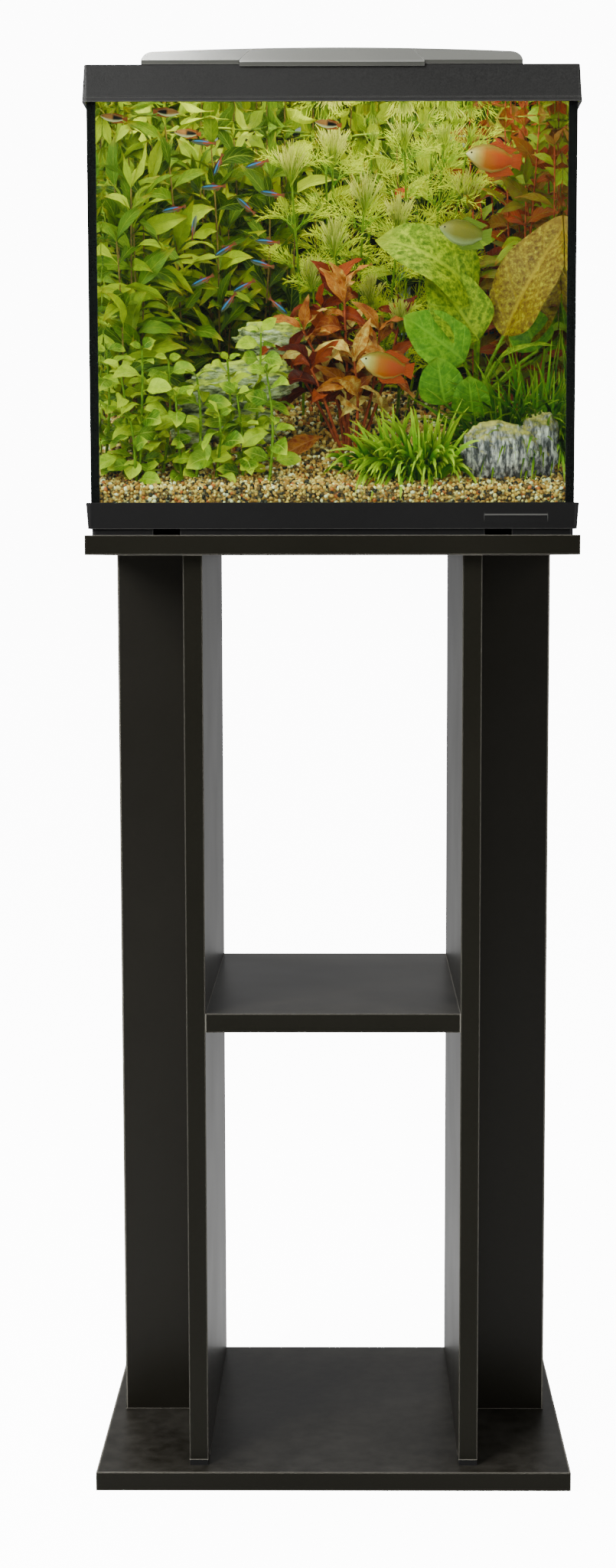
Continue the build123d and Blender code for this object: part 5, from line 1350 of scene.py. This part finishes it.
# ---- gravel
GROUND_STEPS = 60
ground_table = [
    ground(0.0, inner_front + MM + (inner_back - inner_front - 2 * MM) * step / GROUND_STEPS)
    for step in range(GROUND_STEPS + 1)
]
BANK_HEIGHT = 20 * MM  # the gravel is banked up in the left back corner
BANK_FROM_X, BANK_RISE_X = -20 * MM, 120 * MM
BANK_FROM_Y, BANK_RISE_Y = -20 * MM, 80 * MM


def ease(share):
    """A smooth rise from 0 to 1."""
    share = within(share, 0.0, 1.0)
    return share * share * (3 - 2 * share)


def bed_height(x, y):
    """Height of the gravel as it is seen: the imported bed's slope, and the bank at its left back."""
    place = (y - inner_front) / (inner_back - inner_front) * GROUND_STEPS
    low = within(int(place), 0, GROUND_STEPS - 1)
    slope = ground_table[low] + (ground_table[low + 1] - ground_table[low]) * (place - low)
    return slope + BANK_HEIGHT * ease((BANK_FROM_X - x) / BANK_RISE_X) * ease((y - BANK_FROM_Y) / BANK_RISE_Y)


def pebble_pattern():
    """Corners and faces of a coarse ball."""
    ball = bmesh.new()
    bmesh.ops.create_icosphere(ball, subdivisions=1, radius=1.0)
    points = [corner.co.copy() for corner in ball.verts]
    faces = [tuple(corner.index for corner in face.verts) for face in ball.faces]
    ball.free()
    return points, faces


PEBBLE_POINTS, PEBBLE_FACES = pebble_pattern()
PEBBLE_TO_GLASS = 2.2 * MM


def pebble(shape, draw, radius, wide, tall, settle, swing, keep):
    """One stone, stretched and turned at random; settle gives its middle, keep holds its corners."""
    turn = Euler([draw.uniform(0, 6) for _ in range(3)]).to_matrix()
    stretch = Vector((draw.uniform(*wide), draw.uniform(*wide), draw.uniform(*tall)))
    centre = settle()
    spots = []
    for point in PEBBLE_POINTS:
        spot = turn @ (point * stretch)
        spots.append(keep(centre + spot * radius * draw.uniform(*swing)))
    shape.solid(spots, PEBBLE_FACES)


def pebbles(name, front, back, spacing, size, seed):
    """A layer of loose pebbles from one depth to another."""
    draw = random.Random(seed)
    shape = Shape(name)
    side = inner_right - PEBBLE_TO_GLASS
    for row in range(int((back - front) / spacing) + 1):
        for column in range(int(2 * side / spacing) + 1):
            x = -side + column * spacing + draw.uniform(-0.45, 0.45) * spacing
            y = front + row * spacing + draw.uniform(-0.45, 0.45) * spacing
            x = within(x, -side, side)
            y = within(y, inner_front + PEBBLE_TO_GLASS, inner_back - PEBBLE_TO_GLASS)
            radius = draw.uniform(*size) * MM
            pebble(shape, draw, radius, (0.8, 1.2), (0.6, 0.95),
                   lambda: Vector((x, y, bed_height(x, y) + draw.uniform(-0.4, 0.5) * radius)), (0.88, 1.1), Vector)
    shape.make((loose_pebbles,))


HEART_TO_GLASS = 3 * MM
HEART_DEPTH = 1.2 * MM


def heart_height(x, y):
    return bed_height(x, y) - HEART_DEPTH + noise.noise(Vector((x, y, 0)) * 260) * 0.8 * MM


def gravel_heart():
    """The mass of gravel under and behind the pebbles that are seen."""
    shape = Shape("gravel_heart")
    side, front, back = inner_right - HEART_TO_GLASS, inner_front + HEART_TO_GLASS, inner_back - HEART_TO_GLASS
    closed_block(shape, sheet(side, front, back, 60, 40, heart_height), tank_floor + 0.5 * MM)
    welded(shape.make((gravel_bed_finish(),), ("gravel_bed",), smooth=False))


gravel_heart()


def wall_pebbles():
    """The layer of pebbles seen through the front glass and through both sides."""
    draw = random.Random(103)
    for name, spacing, sides in (
        ("pebbles_at_front_glass", 3.3 * MM, ()),
        ("pebbles_at_side_glass", 3.8 * MM, (-1, 1)),
    ):
        shape = Shape(name)
        off = spacing * 0.62
        right, front, back = inner_right - off, inner_front + off, inner_back - off
        runs = [((way * right, front), (way * right, back)) for way in sides] or [((-right, front), (right, front))]
        for start, end in runs:
            length = math.hypot(end[0] - start[0], end[1] - start[1])
            columns = int(length / (spacing * 0.72))
            for column in range(columns + 1):
                share = within((column + draw.uniform(-0.5, 0.5)) / columns, 0.0, 1.0)
                x = start[0] + (end[0] - start[0]) * share
                y = start[1] + (end[1] - start[1]) * share
                z = tank_floor + 2 * MM + draw.uniform(0, spacing)
                while z < bed_height(x, y):
                    pebble(shape, draw, spacing * draw.uniform(0.32, 0.66), (0.8, 1.1), (0.65, 0.95),
                           lambda: Vector((x, y + draw.uniform(0, 0.5) * spacing, z)), (0.9, 1.08),
                           lambda spot: held(spot, STONE_TO_GLASS))
                    z += spacing * draw.uniform(0.7, 1.5)
        shape.make((loose_pebbles,))


wall_pebbles()
pebbles("front_pebbles", inner_front + 2 * MM, -62 * MM, 3.0 * MM, (1.3, 2.3), 97)
pebbles("back_pebbles", -60 * MM, inner_back - 2 * MM, 4.0 * MM, (1.7, 2.7), 101)

# ---- water
WATER_TO_GLASS = 0.15 * MM


def rippled(x, y):
    return water_top + math.sin(x * 61 + y * 17) * math.sin(y * 73 - x * 21) * 0.12 * MM


def water_body():
    """The water: a block inside the glass with a gently rippled surface."""
    shape = Shape("water")
    side, front, back = inner_right - WATER_TO_GLASS, inner_front + WATER_TO_GLASS, inner_back - WATER_TO_GLASS
    closed_block(shape, sheet(side, front, back, 48, 36, rippled), tank_floor + WATER_TO_GLASS)
    welded(shape.make((see_through("clear water", (250, 254, 246), 1.333),), smooth=False))


water_body()

# ---- fish
# outlines from nose to tail root: share of the length, upper edge, lower edge, half thickness
SLIM = (
    (0.0, 0.005, -0.005, 0.005), (0.05, 0.05, -0.04, 0.035), (0.15, 0.095, -0.085, 0.06), (0.3, 0.125, -0.12, 0.07),
    (0.5, 0.12, -0.115, 0.06), (0.7, 0.08, -0.075, 0.04), (0.85, 0.045, -0.045, 0.02), (0.9, 0.04, -0.04, 0.012),
)
DEEP = (
    (0.0, 0.008, -0.008, 0.008), (0.05, 0.07, -0.06, 0.05), (0.15, 0.15, -0.15, 0.085), (0.3, 0.215, -0.235, 0.10),
    (0.5, 0.22, -0.26, 0.09), (0.68, 0.17, -0.2, 0.06), (0.8, 0.10, -0.11, 0.03), (0.85, 0.085, -0.09, 0.015),
)

BODY_SIDES = 12
EYE_SIDES = 8
EYE_RINGS = 4
SKIN, FIN, EYE = 0, 1, 2  # the finishes of a fish
# shares of its length: the bend of its body, the place and the size of an eye, and the wave of a fin
CURL, EYE_PLACE, EYE_SIZE, FIN_WAVE = 0.03, 0.085, 0.022, 0.008


def fish(shape, nose, heading, length, outline, fins):
    """A fish from its nose backwards: a lofted body, eyes, and fins as thin rayed sheets."""
    forward = heading.normalized()
    _, up = frame_along(forward)
    side = forward.cross(up)

    def place(share, high, out=0.0):
        curl = CURL * length * math.sin(share * 3.0)
        return nose - forward * share * length + up * high * length + side * (out * length + curl)

    rows = []
    for share, high, low, half in outline:
        row = []
        for angle, _ in turns(BODY_SIDES):
            level = (high + low) / 2 + (high - low) / 2 * math.sin(angle)
            row.append((place(share, level, half * math.cos(angle)), (share, (math.sin(angle) + 1) / 2)))
        rows.append(row)
    shape.grid(rows, SKIN, close=True)
    for way in (-1, 1):
        eye = place(EYE_PLACE, outline[1][1] * 0.35, way * outline[1][3] * 1.15)
        radius = length * EYE_SIZE
        rings = []
        for ring in range(EYE_RINGS + 1):
            spin = math.pi * ring / EYE_RINGS
            rings.append([
                (eye + side * way * math.cos(spin) * radius * 0.6
                 + (forward * math.cos(a) + up * math.sin(a)) * math.sin(spin) * radius, (0.5, ring / EYE_RINGS))
                for a, _ in turns(EYE_SIDES)
            ])
        shape.grid(rings, EYE, close=True)
    for near, far in fins:
        rows = []
        for share in (0.0, 0.25, 0.5, 0.75, 1.0):
            low = [near[0][axis] + (near[1][axis] - near[0][axis]) * share for axis in (0, 1)]
            high = [far[0][axis] + (far[1][axis] - far[0][axis]) * share for axis in (0, 1)]
            row = []
            for step in (0.0, 0.5, 1.0):
                x = low[0] + (high[0] - low[0]) * step
                z = low[1] + (high[1] - low[1]) * step
                row.append((place(x, z, FIN_WAVE * math.sin(share * 9) * step), (x, (z + 0.3) / 0.6)))
            rows.append(row)
        shape.grid(rows, FIN)


# fins: two corners at the body, then two at the rim, each as a share of the length backwards and upwards
SLIM_FINS = (
    (((0.88, 0.035), (0.88, -0.035)), ((1.04, 0.10), (1.04, -0.10))),
    (((0.42, 0.118), (0.55, 0.11)), ((0.52, 0.20), (0.62, 0.14))),
    (((0.58, -0.10), (0.78, -0.06)), ((0.66, -0.18), (0.82, -0.09))),
)
DEEP_FINS = (
    (((0.83, 0.08), (0.83, -0.085)), ((1.02, 0.17), (1.02, -0.15))),
    (((0.40, 0.215), (0.80, 0.10)), ((0.52, 0.30), (0.93, 0.20))),
    (((0.38, -0.25), (0.80, -0.10)), ((0.50, -0.34), (0.93, -0.24))),
)
MEDIUM = tuple((share, high * 0.62, low * 0.6, half * 0.7) for share, high, low, half in DEEP)
MEDIUM_FINS = tuple(tuple(tuple((x, z * 0.6) for x, z in edge) for edge in fin) for fin in DEEP_FINS)
# each fish: its nose across, deep and high in millimetres, then the way it swims (1 right, -1 left) and its rise
NEONS = (
    ((-116, -60, 1122), (-1, 0.05)), ((-98, -62, 1094), (-0.35, -0.85)), ((-108, -66, 1084), (-1, -0.1)),
    ((-72, -50, 1102), (-1, -0.35)), ((-60, -46, 1083), (-1, 0.12)), ((-140, -74, 1064), (-1, -0.25)),
    ((-112, -66, 1062), (0.2, 1.0)), ((-97, -66, 1029), (-1, -0.65)), ((-64, -50, 1043), (-1, 0.05)),
    ((-68, -60, 1026), (-1, 0.25)), ((-116, -76, 1004), (-1, -0.5)), ((-82, -66, 1000), (-1, -0.55)),
    ((-92, -74, 983), (-0.7, -0.9)), ((-80, -30, 1080), (-0.5, 0.4)), ((-38, -40, 984), (1, -0.9)),
)
RASBORAS = (
    ((-186, -120, 1134), (-1, 0.1)), ((-122, -120, 1136), (1, -0.1)), ((-128, -100, 1124), (-1, 0.05)),
    ((-14, -112, 1130), (-1, 0.1)),
)
RED_GOURAMIS = (((110, -52, 1113), (-1, 0.12), 47), ((23, -84, 944), (-1, 0.22), 45))
OLIVE_GOURAMI = (((88, -64, 1052), (-1, 0.15), 44),)
TOWARDS_THE_FRONT = -0.25


def shoal(name, places, length, outline, fins, skin, fin_material):
    """Fish of one kind, with the length given in millimetres unless a fish has its own."""
    shape = Shape(name)
    for nose, (turn, rise), *own_length in places:
        heading = Vector((turn, TOWARDS_THE_FRONT, rise))
        fish(shape, mm(*nose), heading, (*own_length, length)[0] * MM, outline, fins)
    welded(shape.make((skin, fin_material, fish_eye)))


shoal("neon_tetras", NEONS, 20, SLIM, SLIM_FINS, neon_skin, neon_fin)
shoal("rasboras", RASBORAS, 22, MEDIUM, MEDIUM_FINS, rasbora_skin, rasbora_fin)
shoal("red_gouramis", RED_GOURAMIS, 46, DEEP, DEEP_FINS, gourami_skin, gourami_fin)
shoal("olive_gourami", OLIVE_GOURAMI, 44, DEEP, DEEP_FINS, olive_skin, olive_fin)

# ---- floor, light
STUDIO_WHITE = 12.0


def floor():
    """A plain pale floor: white to look at, with only a faint glow of its own on the object."""
    mesh = bpy.data.meshes.new("floor")
    mesh.from_pydata([(x, y, -0.2 * MM) for x, y in ((-14, -8), (14, -8), (14, 20), (-14, 20))], [], [(0, 1, 2, 3)])
    material, tree, shader = finish("pale floor", Roughness=0.85, Emission_Strength=STUDIO_WHITE)
    deep = put(tree, "SeparateXYZ", {0: put(tree, "TexCoord").outputs["Object"]}).outputs[1]
    path = put(tree, "LightPath").outputs
    glow = calc(tree, "MAXIMUM", path["Is Camera Ray"], times(tree, spread(tree, deep, -1.2, 0.2, 0.3, 1.0), 0.035))
    tree.links.new(blend_colour(tree, glow, tone(0, 0, 0), tone(255, 255, 255)), shader.inputs["Emission Color"])
    paper = blend_colour(tree, uneven(tree, 3.0, 3.0), tone(232, 232, 230), tone(240, 240, 239))
    mirrored = spread(tree, path["Is Glossy Ray"], 0.0, 1.0, 0.0, 0.6)
    paint(tree, shader, blend_colour(tree, mirrored, paper, tone(20, 20, 20)))
    mesh.materials.append(material)
    linked("floor", mesh)


floor()


def lamp(name, place, target, size, power, colour=(1.0, 1.0, 1.0)):
    """A rectangular lamp at a place, aimed at a target."""
    data = bpy.data.lights.new(name, "AREA")
    data.shape = "RECTANGLE"
    data.size, data.size_y = size
    data.energy = power
    data.color = colour
    piece = linked(name, data)
    heading = Vector(target) - Vector(place)
    piece.matrix_world = Matrix.Translation(place) @ heading.to_track_quat("-Z", "Y").to_matrix().to_4x4()
    return piece


lamp("key", (-1.9, -2.3, 2.3), (0, 0, 0.8), (1.2, 1.6), 130)
lamp("fill", (2.2, -2.0, 1.5), (0, 0, 0.8), (0.9, 1.8), 40)
lamp("top", (-0.2, 0.6, 3.0), (0, 0, 0.5), (2.2, 1.6), 20)
over_hood = lamp("hood light", (-0.26, 0.18, 1.62), (-0.17, -0.04, 1.17), (0.12, 0.3), 12)
lamp("side light", (-2.6, -0.5, 1.75), (0, 0, 1.2), (0.5, 0.9), 40)
in_hood = lamp("tank light", (0.0, 0.0, water_top + 9 * MM), (0.0, 0.0, 0.8), (0.36, 0.25), 2.4, (1.0, 0.97, 0.78))
at_glass = lamp(
    "glow on the planting", (0.0, inner_front - 9 * MM, 0.98), (0.0, 1.0, 0.98), (0.38, 0.30), 0.6, (1.0, 0.98, 0.84)
)
for unseen in (over_hood, in_hood, at_glass):
    unseen.visible_camera = False
for unmirrored in (in_hood, at_glass):
    unmirrored.visible_glossy = False
    unmirrored.visible_transmission = False


def studio():
    """White to look at; to everything else a grey room, brighter behind the object than before it."""
    world = bpy.data.worlds.new("studio")
    bpy.context.scene.world = world
    world.use_nodes = True
    sky = world.node_tree
    toward = put(sky, "SeparateXYZ", {0: put(sky, "TexCoord").outputs["Generated"]}).outputs[1]
    room = blend_colour(sky, spread(sky, toward, -0.35, 0.5), (0.07, 0.07, 0.07, 1.0), (0.42, 0.42, 0.42, 1.0))
    sky.links.new(room, sky.nodes["Background"].inputs["Color"])
    white = put(sky, "Background", {0: tone(255, 255, 255), 1: STUDIO_WHITE})
    seen = put(sky, "LightPath").outputs["Is Camera Ray"]
    joined = put(sky, "MixShader", {0: seen, 1: sky.nodes["Background"].outputs[0], 2: white.outputs[0]})
    sky.links.new(joined.outputs[0], sky.nodes["World Output"].inputs["Surface"])


studio()
